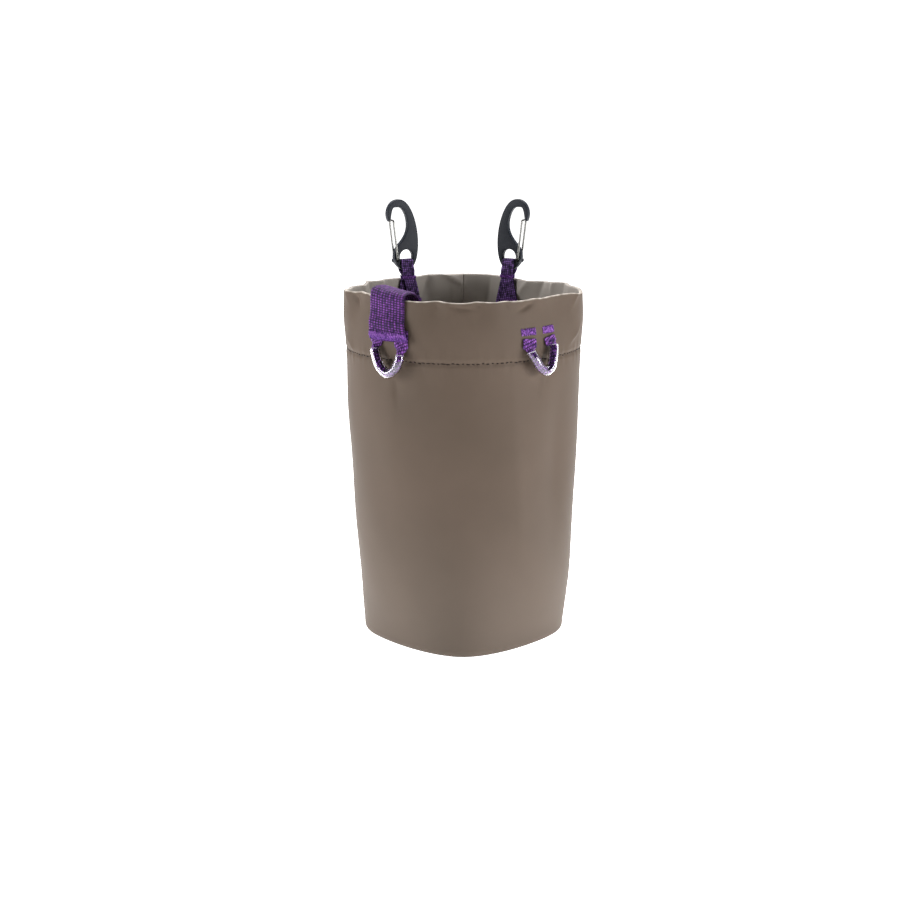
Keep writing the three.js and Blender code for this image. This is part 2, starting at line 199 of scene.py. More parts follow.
# %% Webbing and thread
FIBRE = 0.4 * MM
YARN_FLECK = 2.5 * MM
THREAD_FLECK = 1.3 * MM
# Noise stays near its middle, so this part of it is stretched to the full range
FLECK_RANGE = (0.35, 0.65)
# A wave texture of scale 1 has a period of 2 pi / 20 units
WAVE_PERIODS = 20 / (2 * math.pi)


def woven_polyester(name, light, body, dark):
    material, tree = new_material(name)
    fleck = ranged(tree, noise(tree, YARN_FLECK), 0, 1, *FLECK_RANGE)
    yarn = blend(tree, fleck, body, light)
    flat = add(tree, "ShaderNodeTexCoord").outputs["UV"]
    fibres = add(tree, "ShaderNodeTexWave", {"Vector": flat, "Scale": 1 / FIBRE / WAVE_PERIODS / 2,
                                             "Distortion": 1.5, "Detail": 2}, bands_direction="DIAGONAL")
    # Painted shade: the dips between the floats are darkened towards the dark colour
    surface(tree, {"Base Color": blend(tree, stored(tree, "dip"), yarn, dark), "Roughness": 0.8,
                   "Specular IOR Level": 0.12, "Sheen Weight": 0.06,
                   "Normal": bumped(tree, fibres.outputs["Fac"], 0.3, 0.1 * MM)})
    return material


def sewing_thread(name, shade, light):
    material, tree = new_material(name)
    ply = noise(tree, THREAD_FLECK)
    surface(tree, {"Base Color": blend(tree, ranged(tree, ply, 0, 1, *FLECK_RANGE), shade, light),
                   "Roughness": 0.5, "Specular IOR Level": 0.12, "Normal": bumped(tree, ply, 0.3, 0.1 * MM)})
    return material


DARK_WEBBING = woven_polyester("woven_polyester_dark_purple", "8c66b2", "33204c", "07030c")
WEBBING = woven_polyester("woven_polyester_purple", "743a90", "351752", "0a0410")
NARROW_WEBBING = woven_polyester("woven_polyester_bright_purple", "9a5cbc", "48246c", "0b0411")
# One bartack thread in two copies: a lighter one for the upper strokes, painted light, and a darker one for
# the ground under them, painted shade
LIT_BARTACK_THREAD = sewing_thread("bartack_thread_painted_light", "2c1048", "7d4e99")
SHADED_BARTACK_THREAD = sewing_thread("bartack_thread_painted_shade", "2c1244", "5f3482")
HEM_THREAD = sewing_thread("polyester_thread_dark_brown", "130d09", "231913")
print("made", [material.name for material in (DARK_WEBBING, WEBBING, NARROW_WEBBING)])
print("made", [material.name for material in (LIT_BARTACK_THREAD, SHADED_BARTACK_THREAD, HEM_THREAD)])

# %% [markdown]
# ## Tube, hook and wire
# The sleeves are clear flexible tube: smooth, a little milky, and bright along their edges, where the
# light is bent most. Their cut ends are painted white and nearly opaque, as a painted highlight. The hooks
# are moulded nylon, dark grey with a satin skin and the faint unevenness of a mould. The gates are drawn
# steel wire, grey with slight dull patches.

# %% Tube, hook and wire
TUBE_HAZE = 6 * MM
MOULD_GRAIN = 1.2 * MM
DULL_PATCH = 2 * MM


def clear_tube():
    material, tree = new_material("clear_flexible_tube")
    gloss = ranged(tree, noise(tree, TUBE_HAZE), 0.03, 0.09)
    # Painted highlight: the cut ends are drawn nearly opaque and white, for the bright glint along them
    clear = ranged(tree, stored(tree, "painted_cut_glint"), 1.0, 0.1)
    surface(tree, {"Base Color": linear("f8f5fc"), "Roughness": gloss, "IOR": 1.5,
                   "Transmission Weight": clear})
    return material


def moulded_nylon():
    material, tree = new_material("moulded_nylon_dark_grey")
    grain = noise(tree, MOULD_GRAIN, 3)
    surface(tree, {"Base Color": blend(tree, grain, "0d1017", "171b24"), "IOR": 1.53,
                   "Roughness": ranged(tree, grain, 0.5, 0.6), "Specular IOR Level": 0.13,
                   "Normal": bumped(tree, grain, 0.15, 0.1 * MM)})
    return material


def drawn_steel():
    material, tree = new_material("drawn_steel_wire")
    dull = noise(tree, DULL_PATCH)
    surface(tree, {"Base Color": blend(tree, dull, "585856", "6c6c69"), "Metallic": 1.0,
                   "Roughness": ranged(tree, dull, 0.2, 0.28)})
    return material


TUBE = clear_tube()
NYLON = moulded_nylon()
STEEL = drawn_steel()
print("made", TUBE.name, NYLON.name, STEEL.name)

# %% [markdown]
# ## Meshes from grids of points
# A bag's wall, a strap and a tube are all rows of points with faces between them. One function turns
# such a grid into a mesh, closes it along its rows, its columns or both, and gives it a UV map measured
# in metres, so that a pattern keeps its real size. Single values for each point become attributes. The
# sign of the enclosed volume tells whether the faces point outwards.

# %% Grid meshes
def grid_faces(rows, columns, wrap_rows, wrap_columns):
    """Corner numbers of the quads of a grid, as an array of fours."""
    row = np.arange(rows if wrap_rows else rows - 1)
    column = np.arange(columns if wrap_columns else columns - 1)
    row, column = np.meshgrid(row, column, indexing="ij")
    next_row, next_column = (row + 1) % rows, (column + 1) % columns
    corners = [row * columns + column, row * columns + next_column,
               next_row * columns + next_column, next_row * columns + column]
    return np.stack(corners, axis=-1).reshape(-1, 4)


def walked(points, axis):
    """Mean distance walked along one axis of a grid, with a last value for a closing step."""
    steps = np.linalg.norm(np.roll(points, -1, axis) - points, axis=-1)
    return np.concatenate([[0], np.cumsum(steps.mean(axis=1 - axis))])


def enclosed_volume(mesh):
    """Volume inside a closed mesh, negative if its faces point inwards."""
    mesh.calc_loop_triangles()
    points = np.array([v.co for v in mesh.vertices])
    corners = points[np.array([t.vertices for t in mesh.loop_triangles])]
    return np.einsum("ij,ij->i", corners[:, 0], np.cross(corners[:, 1], corners[:, 2])).sum() / 6


def finished(name, mesh):
    """An object for a closed mesh, with its faces turned outwards and smooth."""
    if enclosed_volume(mesh) < 0:
        mesh.flip_normals()
    mesh.shade_smooth()
    piece = bpy.data.objects.new(name, mesh)
    scene.collection.objects.link(piece)
    print(name, len(mesh.loop_triangles), "triangles")
    return piece


def grid_object(name, points, material, wrap_rows, wrap_columns, values=None):
    """An object from a grid of points in metres; ends that don't wrap are capped."""
    rows, columns = points.shape[:2]
    quads = grid_faces(rows, columns, wrap_rows, wrap_columns)
    first_row = list(range(columns))
    caps = [] if wrap_rows else [first_row[::-1], [(rows - 1) * columns + i for i in first_row]]
    mesh = bpy.data.meshes.new(name)
    mesh.from_pydata(points.reshape(-1, 3).tolist(), [], quads.tolist() + caps)
    along, across = walked(points, 0), walked(points, 1)
    row, column = np.divmod(np.arange(len(quads)), columns if wrap_columns else columns - 1)
    u = np.stack([across[column], across[column + 1], across[column + 1], across[column]], axis=-1)
    v = np.stack([along[row], along[row], along[row + 1], along[row + 1]], axis=-1)
    uv = np.zeros((len(mesh.loops), 2), np.float32)
    uv[:quads.size] = np.stack([u, v], axis=-1).reshape(-1, 2)
    mesh.uv_layers.new(name="UVMap").data.foreach_set("uv", uv.ravel())
    for key, value in (values or {}).items():
        attribute = mesh.attributes.new(key, "FLOAT", "POINT")
        attribute.data.foreach_set("value", np.asarray(value, np.float32).ravel())
    mesh.materials.append(material)
    return finished(name, mesh)


def place_in_frame(piece, body, slot, *nodes):
    """Attach a piece to the body it moves with and hide the solids it stands for; slot is not used."""
    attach(piece, body)
    if nodes:
        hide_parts(*nodes)


# %% [markdown]
# ## The wall's shape, read from the frame
# The solid of the wall already has the photograph's outline, but it is faceted. Rays shot at its outer
# face give the radius on a coarse grid of heights and angles. Between the angles a Fourier series fills
# in, because a ring repeats itself, and between the heights a smooth cubic does. Angles are in degrees
# round the bag, from 0 at the front and positive towards +X.

# %% Radius of the wall
RIM_HEIGHT = 245 * MM
FOOT_RADIUS = 6 * MM
HEM_THICKNESS = 2.6 * MM
SAMPLE_COLUMNS = 72
SAMPLE_ROWS = 16
SAMPLE_TOP = 241 * MM
TABLE_COLUMNS = 720
TABLE_ROWS = 240


def around(angle, radius, height):
    """Points at an angle, radius and height round the bag's axis."""
    turn = np.radians(angle)
    return np.stack(np.broadcast_arrays(radius * np.sin(turn), -radius * np.cos(turn), height), axis=-1)


def sample_wall():
    """Radius of the solid wall's outer face, a row for each height and a column for each angle."""
    mesh = frame["nodes"]["bag_wall"].data
    tree = BVHTree.FromPolygons([v.co for v in mesh.vertices], [p.vertices for p in mesh.polygons])
    radii = np.zeros((SAMPLE_ROWS, SAMPLE_COLUMNS))
    off_the_edge = 1e-3
    for row, height in enumerate(np.linspace(FOOT_RADIUS, SAMPLE_TOP, SAMPLE_ROWS)):
        for column in range(SAMPLE_COLUMNS):
            angle = 360 * column / SAMPLE_COLUMNS + off_the_edge
            outside = Vector(around(angle, 0.2, height))
            hit = tree.ray_cast(outside, Vector((-outside.x, -outside.y, 0)))[0]
            radii[row, column] = hit.xy.length
    return radii


def finer_columns(rows, count):
    """Rows that repeat all round, at more places, by their Fourier series."""
    return np.fft.irfft(np.fft.rfft(rows, axis=-1), count, axis=-1) * count / rows.shape[-1]


def curve_through(points, at):
    """Values of a Catmull-Rom curve through points, at places counted in points."""
    low = np.clip(at.astype(int), 0, len(points) - 2)
    t = (at - low).reshape(-1, *[1] * (points.ndim - 1))
    a, b = points[np.maximum(low - 1, 0)], points[low]
    c, d = points[low + 1], points[np.minimum(low + 2, len(points) - 1)]
    return b + t / 2 * (c - a + t * (2 * a - 5 * b + 4 * c - d + t * (3 * b - a - 3 * c + d)))


RADIUS_TABLE = curve_through(finer_columns(sample_wall(), TABLE_COLUMNS),
                             np.linspace(0, SAMPLE_ROWS - 1, TABLE_ROWS))


def wall_radius(angle, height):
    """Radius of the plain wall at any angle and height."""
    column = np.mod(angle, 360) / 360 * TABLE_COLUMNS
    row = np.clip((height - FOOT_RADIUS) / (SAMPLE_TOP - FOOT_RADIUS), 0, 1) * (TABLE_ROWS - 1)
    column, row = np.broadcast_arrays(column, row)
    left, low = column.astype(int), np.minimum(row.astype(int), TABLE_ROWS - 2)
    x, y = column - left, row - low
    left, right = left % TABLE_COLUMNS, (left + 1) % TABLE_COLUMNS
    lower = RADIUS_TABLE[low, left] * (1 - x) + RADIUS_TABLE[low, right] * x
    upper = RADIUS_TABLE[low + 1, left] * (1 - x) + RADIUS_TABLE[low + 1, right] * x
    return lower * (1 - y) + upper * y


def rim_heights():
    """Highest point of the solid's rim, on the columns of the radius table."""
    points = np.array([v.co for v in frame["nodes"]["bag_wall"].data.vertices])
    angle = np.degrees(np.arctan2(points[:, 0], -points[:, 1]))
    column = np.round(angle / 360 * SAMPLE_COLUMNS).astype(int) % SAMPLE_COLUMNS
    highest = np.zeros(SAMPLE_COLUMNS)
    np.maximum.at(highest, column, points[:, 2])
    return finer_columns(highest, TABLE_COLUMNS)


RIM_TABLE = rim_heights()


def rim_sink(angle):
    """How far the rim lies below its nominal height."""
    places = np.arange(TABLE_COLUMNS) * 360 / TABLE_COLUMNS
    return RIM_HEIGHT - np.interp(angle, places, RIM_TABLE, period=360)


print("wall radius half way up, mm: front", round(float(wall_radius(0, 0.12)) / MM, 1),
      "right", round(float(wall_radius(90, 0.12)) / MM, 1))

# %% [markdown]
# ## Folds, puckers and dents
# Cloth that has been sewn and handled is never a clean loft. The hem's stitching pulls the wall in
# along a line and puckers it, broad soft waves run down the body, and single creases run from the
# rim. Each crease is a row of a table: where its middle is, how it leans, how long it is, how wide on
# each side, and how far it stands out. Stiff coated cloth folds into flat facets, so a crease falls off
# like a tent with a slightly rounded top. The foot stays plain, so that the bag stands.

# %% Relief of the wall
HEM_DEPTH = 41 * MM
# Mean radius of the wall, which turns angles into distances round the bag
MEAN_RADIUS = 80 * MM
# The hem's stitching pulls the cloth in and gathers it: height and reach above and below, in mm
SEAM_PULL, SEAM_REACH = -0.75, 1.6
GATHER_RISE, GATHER_REACH = 0.32, 6.5
WAVE_RISE = 0.16
# The foot is plain up to the first of these heights, and the body is in full relief above the second
PLAIN_BELOW, FULL_ABOVE = 8 * MM, 40 * MM
RIM_BUMP_DEPTH = 6 * MM
# Angle round the bag in degrees, down from the rim in mm, lean to the left in degrees, and in mm half
# length, width on the left and on the right, height (a valley is negative) and rounding of the top
CREASES = [
    (-73.3, 34, 55, 8, 1, 6, 1.6, 0.3),  # hem end left
    (73.5, 28.5, -57, 9, 6, 1, 1.6, 0.3),  # hem end right
    (-1, 3.5, 80, 6, 1.6, 1.6, -1.3, 0.4),  # rim pinch middle
    (33, 4.5, -70, 7, 2, 1.4, -1.7, 0.4),  # rim pinch right
    (-68, 4, 55, 6, 2, 1.4, -1.6, 0.4),  # rim pinch left
    (-76, 3, 40, 8, 2, 2, 0.8, 0.4),  # rim fold left
    (74, 4, -45, 9, 2, 2, 0.8, 0.4),  # rim fold right
    (-13, 2.6, 60, 3, 1.2, 1.2, -0.5, 0.4),  # dimple -12
    (6.5, 2.6, 65, 3, 1.2, 1.2, -0.5, 0.4),  # dimple 6
    (20.5, 2.6, 60, 3, 1.2, 1.2, -0.45, 0.4),  # dimple 20
    (-174, 3, -61, 13, 6, 1.6, -4.2, 0.3),  # back fold by the seam
    (-161, 5, 20, 13, 4, 5, 3.2, 0.4),  # back light facet
    (142, 5, 50, 14, 4.5, 4.5, -3.6, 0.4),  # back inner fold right
    (130, 3, 25, 12, 3, 3.5, 2.4, 0.4),  # back outer fold right
    (121, 2, 20, 9, 3, 2.6, -2.2, 0.4),  # inner notch right
    (114, 2, 10, 9, 2.6, 3, 2.0, 0.4),  # outer notch right
    (-120, 3, -18, 11, 4, 4, 3.0, 0.4),  # fold peak left
    (-129.5, 4, -20, 11, 3.5, 4, -2.4, 0.4),  # inner fold left
    (-110, 2, -30, 8, 3, 3, -2.0, 0.4),  # inner notch left
    (-138, 3, 12, 7, 1.4, 1.4, -0.7, 0.4),  # fine crease left
    (167, 18, 8, 13, 4, 4, 2.6, 0.8),  # recess by the right strap
    (-162, 20, -8, 13, 4, 4, 2.6, 0.8),  # recess by the left strap
    (29, 118, 5, 48, 16, 16, 2.6, 4),  # body ridge right
    (57, 112, 2, 50, 16, 12, -4.0, 12),  # body flat right
    (90, 95, 0, 70, 14, 14, 1.3, 6),  # body swell right
    (-90, 165, 0, 38, 14, 14, 0.8, 6),  # body swell left
    (-38, 100, -3, 45, 11, 11, 0.8, 6),  # body ridge left
    (12, 110, 6, 60, 22, 22, -0.6, 12),  # body hollow
    (-35, 60, 8, 11, 3, 18, -1.6, 1.5),  # dent under the left loop
    (42, 56, -12, 10, 18, 3, -1.5, 1.5),  # dent under the right loop
    (-18, 52, 30, 12, 4, 4, -0.5, 2),  # dent between the loops
]
# Gathers and waves: how many go round, phase, and for the waves the height of one turn in mm
PUCKERS = [(37, 0.4), (48, 2.1), (61, 5.0), (83, 1.2)]
WAVES = [(3, 0.6, 150), (5, 2.4, 210), (7, 4.1, 120), (9, 1.5, 90)]
# Small bumps of the rim's top edge: angle, spread in degrees, height in mm
RIM_BUMPS = [(-12, 3, 0.4), (6, 2.5, 0.4), (20, 3, 0.6), (38, 3.5, 0.5), (-75, 3, 0.5), (-119, 4, 0.8),
             (-62, 5, 1.5), (-55, 4, 1.6), (84, 10, -2.6)]


def soft_step(value, low, high):
    """0 below low, 1 above high, and a soft step between."""
    t = np.clip((value - low) / (high - low), 0, 1)
    return t * t * (3 - 2 * t)


def turn_from(angle, middle):
    """Degrees from an angle to another, the short way round."""
    return np.mod(angle - middle + 180, 360) - 180


def crease_relief(angle, height):
    """Sum of the single creases, in mm."""
    total = 0.0
    for middle, down, lean, length, left, right, rise, rounding in CREASES:
        sideways = np.radians(turn_from(angle, middle)) * MEAN_RADIUS / MM
        upwards = (height - RIM_HEIGHT) / MM + down
        lean = math.radians(lean)
        along = upwards * math.cos(lean) - sideways * math.sin(lean)
        across = upwards * math.sin(lean) + sideways * math.cos(lean)
        away = np.hypot(across, rounding) - rounding
        fall = away / np.where(across < 0, left, right)
        total = total + rise * np.exp(-(along / length) ** 2 - fall)
    return total


def rim_bumps(angle):
    """Rise of the rim's top edge, in metres."""
    return sum(rise * MM * np.exp(-(turn_from(angle, middle) / spread) ** 2)
               for middle, spread, rise in RIM_BUMPS)


def pucker(angle):
    """Uneven gathers along a seam, from -1 to 1."""
    return sum(np.cos(count * np.radians(angle) + phase) for count, phase in PUCKERS) / len(PUCKERS)


def relief(angle, height):
    """How far the dressed wall stands out from the plain one, in metres."""
    from_seam = (height - RIM_HEIGHT + HEM_DEPTH) / MM
    seam = SEAM_PULL * np.exp(-(from_seam / SEAM_REACH) ** 2)
    gathers = GATHER_RISE * pucker(angle) * np.exp(-(from_seam / GATHER_REACH) ** 2)
    waves = WAVE_RISE * sum(np.cos(count * np.radians(angle) + phase + 2 * math.pi * height / MM / turn)
                            for count, phase, turn in WAVES)
    body = soft_step(height, PLAIN_BELOW, FULL_ABOVE)
    return (crease_relief(angle, height) + (seam + gathers + waves) * body) * MM


def skin(angle, height, out=0.0):
    """A point on the dressed wall, or that far out from it."""
    sink = rim_sink(angle) * soft_step(height, RIM_HEIGHT - HEM_DEPTH, RIM_HEIGHT)
    bump = rim_bumps(angle) * soft_step(height, RIM_HEIGHT - RIM_BUMP_DEPTH, RIM_HEIGHT)
    return around(angle, wall_radius(angle, height) + relief(angle, height) + out, height - sink + bump)


all_round, up_the_wall = np.linspace(0, 360, 721)[None], np.linspace(0.03, 0.24, 90)[:, None]
print("relief, mm, from", round(float(relief(all_round, up_the_wall).min()) / MM, 2),
      "to", round(float(relief(all_round, up_the_wall).max()) / MM, 2))

# %% [markdown]
# ## The bag's wall
# The real wall is one panel of fabric, sewn into a tube with a lapped seam at the back. At the top it is
# turned inwards into a deep hem, and at the bottom it is turned under. So the mesh is one profile swept
# round the bag: from the edge under the foot, up the outside, over the rim, and down the inside past the
# hem's cut edge. A cloth simulation would round these folds away, so code moves the points instead.

# %% Bag wall
FABRIC_THICKNESS = 1.5 * MM
FOOT_LIP = 9 * MM
HEM_ALLOWANCE = 4 * MM
WALL_COLUMNS = 460
SEAM_COLUMNS = 21
SEAM_LAP = 7 * MM
SEAM_RISE = 0.6 * MM
SEAM_GROOVE = 0.9 * MM
GROOVE_WIDTH = 0.5 * MM
# Half the width of the lap's steep edge, and the width over which its other edge fades out
LAP_EDGE = 0.4 * MM
LAP_FADE = 3 * MM
# Depth below the rim in which the rows are closest together
FINE_DEPTH = 54 * MM
# How far the lap shows on the inside, as a share of its rise on the outside
INNER_LAP = -0.6
SEAM_FADE = (8 * MM, 16 * MM)
# Painted light on the cloth: its share of the pale colour, and how far it reaches. At the rim it is a
# painted highlight, and at the foot painted light from the floor
RIM_HIGHLIGHT, RIM_HIGHLIGHT_REACH = 0.7, 0.5 * MM
FOOT_LIGHT, FOOT_LIGHT_REACH = 0.036, 75 * MM
# How strong the painted rim highlight is at the back, as a share of that at the front
BACK_HIGHLIGHT = 0.25


def wall_profile():
    """Rows of (height, inset from the outer face) round the wall's section, closest together at the hem."""
    rim = HEM_THICKNESS / 2
    inner_foot = FOOT_RADIUS - FABRIC_THICKNESS
    hem_end = RIM_HEIGHT - HEM_DEPTH - HEM_ALLOWANCE
    fine_from = RIM_HEIGHT - FINE_DEPTH
    rows = [(0, FOOT_LIP), (0, (FOOT_LIP + FOOT_RADIUS) / 2)]
    for turn in np.radians(np.linspace(0, 90, 8)[:-1]):
        rows.append((FOOT_RADIUS * (1 - math.cos(turn)), FOOT_RADIUS * (1 - math.sin(turn))))
    rows += [(height, 0) for height in np.linspace(FOOT_RADIUS, fine_from, 46)]
    rows += [(height, 0) for height in np.linspace(fine_from, RIM_HEIGHT - rim, 62)[1:]]
    for turn in np.radians(np.linspace(0, 180, 9)[1:]):
        rows.append((RIM_HEIGHT - rim * (1 - math.sin(turn)), rim * (1 - math.cos(turn))))
    rows += [(height, HEM_THICKNESS) for height in np.linspace(RIM_HEIGHT - rim, hem_end, 32)[1:]]
    rows += [(hem_end - 0.3 * MM, HEM_THICKNESS - 0.4 * MM), (hem_end - 0.6 * MM, FABRIC_THICKNESS)]
    rows += [(height, FABRIC_THICKNESS) for height in np.linspace(hem_end - 4 * MM, FOOT_RADIUS, 28)]
    for turn in np.radians(np.linspace(90, 0, 5)[1:]):
        rows.append((FOOT_RADIUS - inner_foot * math.cos(turn), FOOT_RADIUS - inner_foot * math.sin(turn)))
    rows.append((FABRIC_THICKNESS, FOOT_LIP))
    return np.array(rows)


def from_seam_edge(angle):
    """Distance round the bag from the sewn edge at the back."""
    return np.radians(np.mod(angle, 360) - 180) * MEAN_RADIUS


def seam_edge(angle):
    """1 along the sewn edge, where the two layers leave a narrow groove."""
    return np.exp(-(from_seam_edge(angle) / GROOVE_WIDTH) ** 2)


def above_foot(height):
    """0 at the foot and 1 above it."""
    return soft_step(height, *SEAM_FADE)


def back_seam(angle, height):
    """Rise of the lapped seam at the back, steep on its sewn edge."""
    from_edge = from_seam_edge(angle)
    sewn = soft_step(from_edge, -LAP_EDGE, LAP_EDGE)
    faded = soft_step(from_edge, SEAM_LAP, SEAM_LAP + LAP_FADE)
    return SEAM_RISE * (sewn - faded) * above_foot(height)


def bag_wall():
    profile = wall_profile()
    height, inset = profile[:, :1], profile[:, 1:]
    even = np.linspace(0, 360, WALL_COLUMNS, endpoint=False)
    angle = np.unique(np.round(np.concatenate([even, 180 + np.linspace(-2, 2, SEAM_COLUMNS)]), 4))[None]
    inside = np.arange(len(profile))[:, None] > np.argmax(profile[:, 0])
    groove = SEAM_GROOVE * seam_edge(angle) * above_foot(height)
    seam = back_seam(angle, height) * np.where(inside, INNER_LAP, 1) + groove * inside
    points = skin(angle, height, seam - inset)
    # Painted highlight along the rim's top edge, strongest at the front, and painted light from the floor up
    # from the foot
    rim_highlight = RIM_HIGHLIGHT * np.exp(-((RIM_HEIGHT - height) / RIM_HIGHLIGHT_REACH) ** 2)
    front = BACK_HIGHLIGHT + (1 - BACK_HIGHLIGHT) * soft_step(np.cos(np.radians(angle)), -0.2, 0.2)
    foot_light = FOOT_LIGHT * np.exp(-(height / FOOT_LIGHT_REACH) ** 2)
    painted_light = rim_highlight * front * (0.6 + 0.4 * pucker(angle)) + foot_light
    # The inside faces take the lighter lining colour, painted light inside the mouth
    painted_lit_lining = inside + 0 * angle
    return grid_object("bag_wall_fabric", points, FABRIC, True, True, {"painted_light": painted_light, "painted_lit_lining": painted_lit_lining})


place_in_frame(bag_wall(), "bag", "coated_fabric", "bag_wall")

# %% [markdown]
# ## The base panel
# The base is a single panel of the same fabric, sewn to the wall's turned-under edge. It is nearly flat,
# with the slack that any sewn panel keeps. Rings run from the middle of the underside to the edge, and
# back over the top to the middle.

# %% Base panel
BASE_RINGS = 14
BASE_COLUMNS = 144
SEWN_GAP = 0.3 * MM
BASE_SLACK = 0.5 * MM


def bag_base():
    angle = np.linspace(0, 360, BASE_COLUMNS, endpoint=False)[None]
    edge = wall_radius(angle, FOOT_RADIUS) - FOOT_LIP - SEWN_GAP
    share = np.linspace(0.02, 1, BASE_RINGS)[:, None]
    slack = BASE_SLACK * np.sin(math.pi * share) * (1 + 0.6 * np.cos(2 * np.radians(angle) + share * 5))
    under = around(angle, edge * share, 0 * slack)
    over = around(angle, edge * share, FABRIC_THICKNESS + slack)
    points = np.concatenate([under, over[::-1]])
    # The upper face takes the lighter lining colour, painted light inside the bag, and no painted highlight
    painted_lit_lining = np.repeat([0.0, 1.0], BASE_RINGS * BASE_COLUMNS)
    values = {"painted_light": 0 * painted_lit_lining, "painted_lit_lining": painted_lit_lining}
    return grid_object("bag_base_fabric", points, FABRIC, False, True, values)


place_in_frame(bag_base(), "bag", "coated_fabric", "bag_base")

# %% [markdown]
# ## Webbing
# Webbing is woven flat: ribs run along it, and each rib is a row of short floats where the yarn lies on
# top. Shifting the floats from rib to rib makes a plain weave, a twill or straight crosswise ribs. All the
# straps share one function. It takes a rule that bends a flat strip into place, and lays a strip with
# rounded edges and woven faces along it.

# %% Webbing
FLOAT_ROWS = 6
RIB_COLUMNS = 4
# Below 1 the floats have broad tops and narrow dips
FLOAT_SHAPE = 0.7


class Line:
    """A smooth line through points, measured along its length."""

    def __init__(self, points, samples=800):
        points = np.array(points, float)
        self.points = curve_through(points, np.linspace(0, len(points) - 1, samples))
        steps = np.linalg.norm(np.diff(self.points, axis=0), axis=-1)
        self.places = np.concatenate([[0], np.cumsum(steps)])
        self.length = self.places[-1]

    def at(self, along):
        """Points at distances along the line."""
        return np.stack([np.interp(along, self.places, column) for column in self.points.T], axis=-1)

    def direction(self, along, reach=0.3 * MM):
        """Unit vectors along the line."""
        step = self.at(along + reach) - self.at(along - reach)
        return step / np.linalg.norm(step, axis=-1, keepdims=True)


def woven(along, across, rib, float_length, shift):
    """Height of a woven face, from 0 in the dips to 1 on the floats."""
    column = np.floor(across / rib)
    in_rib = across / rib - column
    in_float = np.mod(along / float_length + column * shift, 1)
    return (np.sin(math.pi * in_rib) * np.sin(math.pi * in_float)) ** FLOAT_SHAPE


def webbing(name, place, length, width, thickness, weave, depth, material):
    """A strip of webbing; place(along, across, off) bends it, weave gives rib, float length and shift."""
    rib, float_length, shift = weave
    rows = int(length / float_length * FLOAT_ROWS) + 1
    columns = int(width / rib) * RIB_COLUMNS + 1
    edge = thickness / 2
    flat = np.linspace(edge - width / 2, width / 2 - edge, columns)
    turn = np.radians([45, 0, -45])
    round_out, round_up = edge * np.cos(turn), edge * np.sin(turn)
    across = np.concatenate([flat, flat[-1] + round_out, flat[::-1], flat[0] - round_out])
    off = np.concatenate([0 * flat + edge, round_up, 0 * flat - edge, -round_up])
    along = np.linspace(0, length, rows)[:, None]
    height = woven(along, across[None] + width / 2, rib, float_length, shift)
    points = place(along, across[None], off[None] - np.sign(off) * depth * (1 - height))
    # How deep each point lies in the weave, which the shader paints as shade
    return grid_object(name, points, material, False, True, {"dip": 1 - height ** 2})


# %% [markdown]
# ## The strap over the rim
# A wide strap starts on the outside of the hem, rises over the rim in an open arch and is sewn in again
# on the inside. Its line is drawn in the plane that stands across the wall, as distances out from the
# wall and up from the rim. Two more numbers sway it to the right and lower its right edge. The strip then
# follows the wall's curve to each side of that plane.

# %% Rim strap
STRAP_ANGLE = -39.6
STRAP_WIDTH = 30 * MM
STRAP_THICKNESS = 1.8 * MM
STRAP_WEAVE = (2.45 * MM, 1.65 * MM, 0.12)
STRAP_RELIEF = 0.42 * MM
# In mm: out, up, sway to the right, drop of the right edge
STRAP_LINE = Line(np.array([
    (3.7, -27.5, 3.6, 0), (3.5, -17, 1.2, 0), (1.6, -10, 0, 0), (1.6, 1, 0, 0.6), (-0.4, 4.8, 0, 2.6),
    (-7, 5.6, 0, 2.9), (-14, 3.8, 0, 3.0), (-18, -1.8, 0, 1.5), (-17.5, -14, 0, 0), (-11, -28, 0, 0),
    (-4.4, -38, 0, 0)]) * MM)


def on_rim_strap(along, across, off):
    """A point of the strap: along it, across it and off its middle."""
    out, up, sway, drop = np.moveaxis(STRAP_LINE.at(along), -1, 0)
    out_step, up_step = np.moveaxis(STRAP_LINE.direction(along), -1, 0)[:2]
    angle = STRAP_ANGLE + np.degrees((sway + across) / wall_radius(STRAP_ANGLE, RIM_HEIGHT))
    height = RIM_HEIGHT + up - out_step * off - drop * across / STRAP_WIDTH
    radius = wall_radius(angle, np.minimum(height, RIM_HEIGHT)) + out + up_step * off
    return around(angle, radius, height)


rim_strap = webbing("rim_strap_webbing", on_rim_strap, STRAP_LINE.length, STRAP_WIDTH, STRAP_THICKNESS,
                    STRAP_WEAVE, STRAP_RELIEF, WEBBING)
place_in_frame(rim_strap, "bag", "purple_webbing", "rim_strap")

# %% [markdown]
# ## Tool loops
# Each tool loop is a length of narrow webbing whose ends go through the hem and are bartacked inside it.
# Between them it hangs as a U and stands off the wall, and each of the two hangs a little differently. To
# go into its tube the webbing has to roll up, so the strip is bent into an arc that closes as it nears
# the tube. One value, `rolled`, drives that.

# %% Tool loops
LOOP_WIDTH = 11 * MM
LOOP_THICKNESS = 1.2 * MM
LOOP_WEAVE = (1.35 * MM, 2.4 * MM, 0.25)
LOOP_RELIEF = 0.34 * MM
ROLL_RADIUS = 1.85 * MM
ROLL_STARTS, ROLL_ENDS = 0.5, 0.95
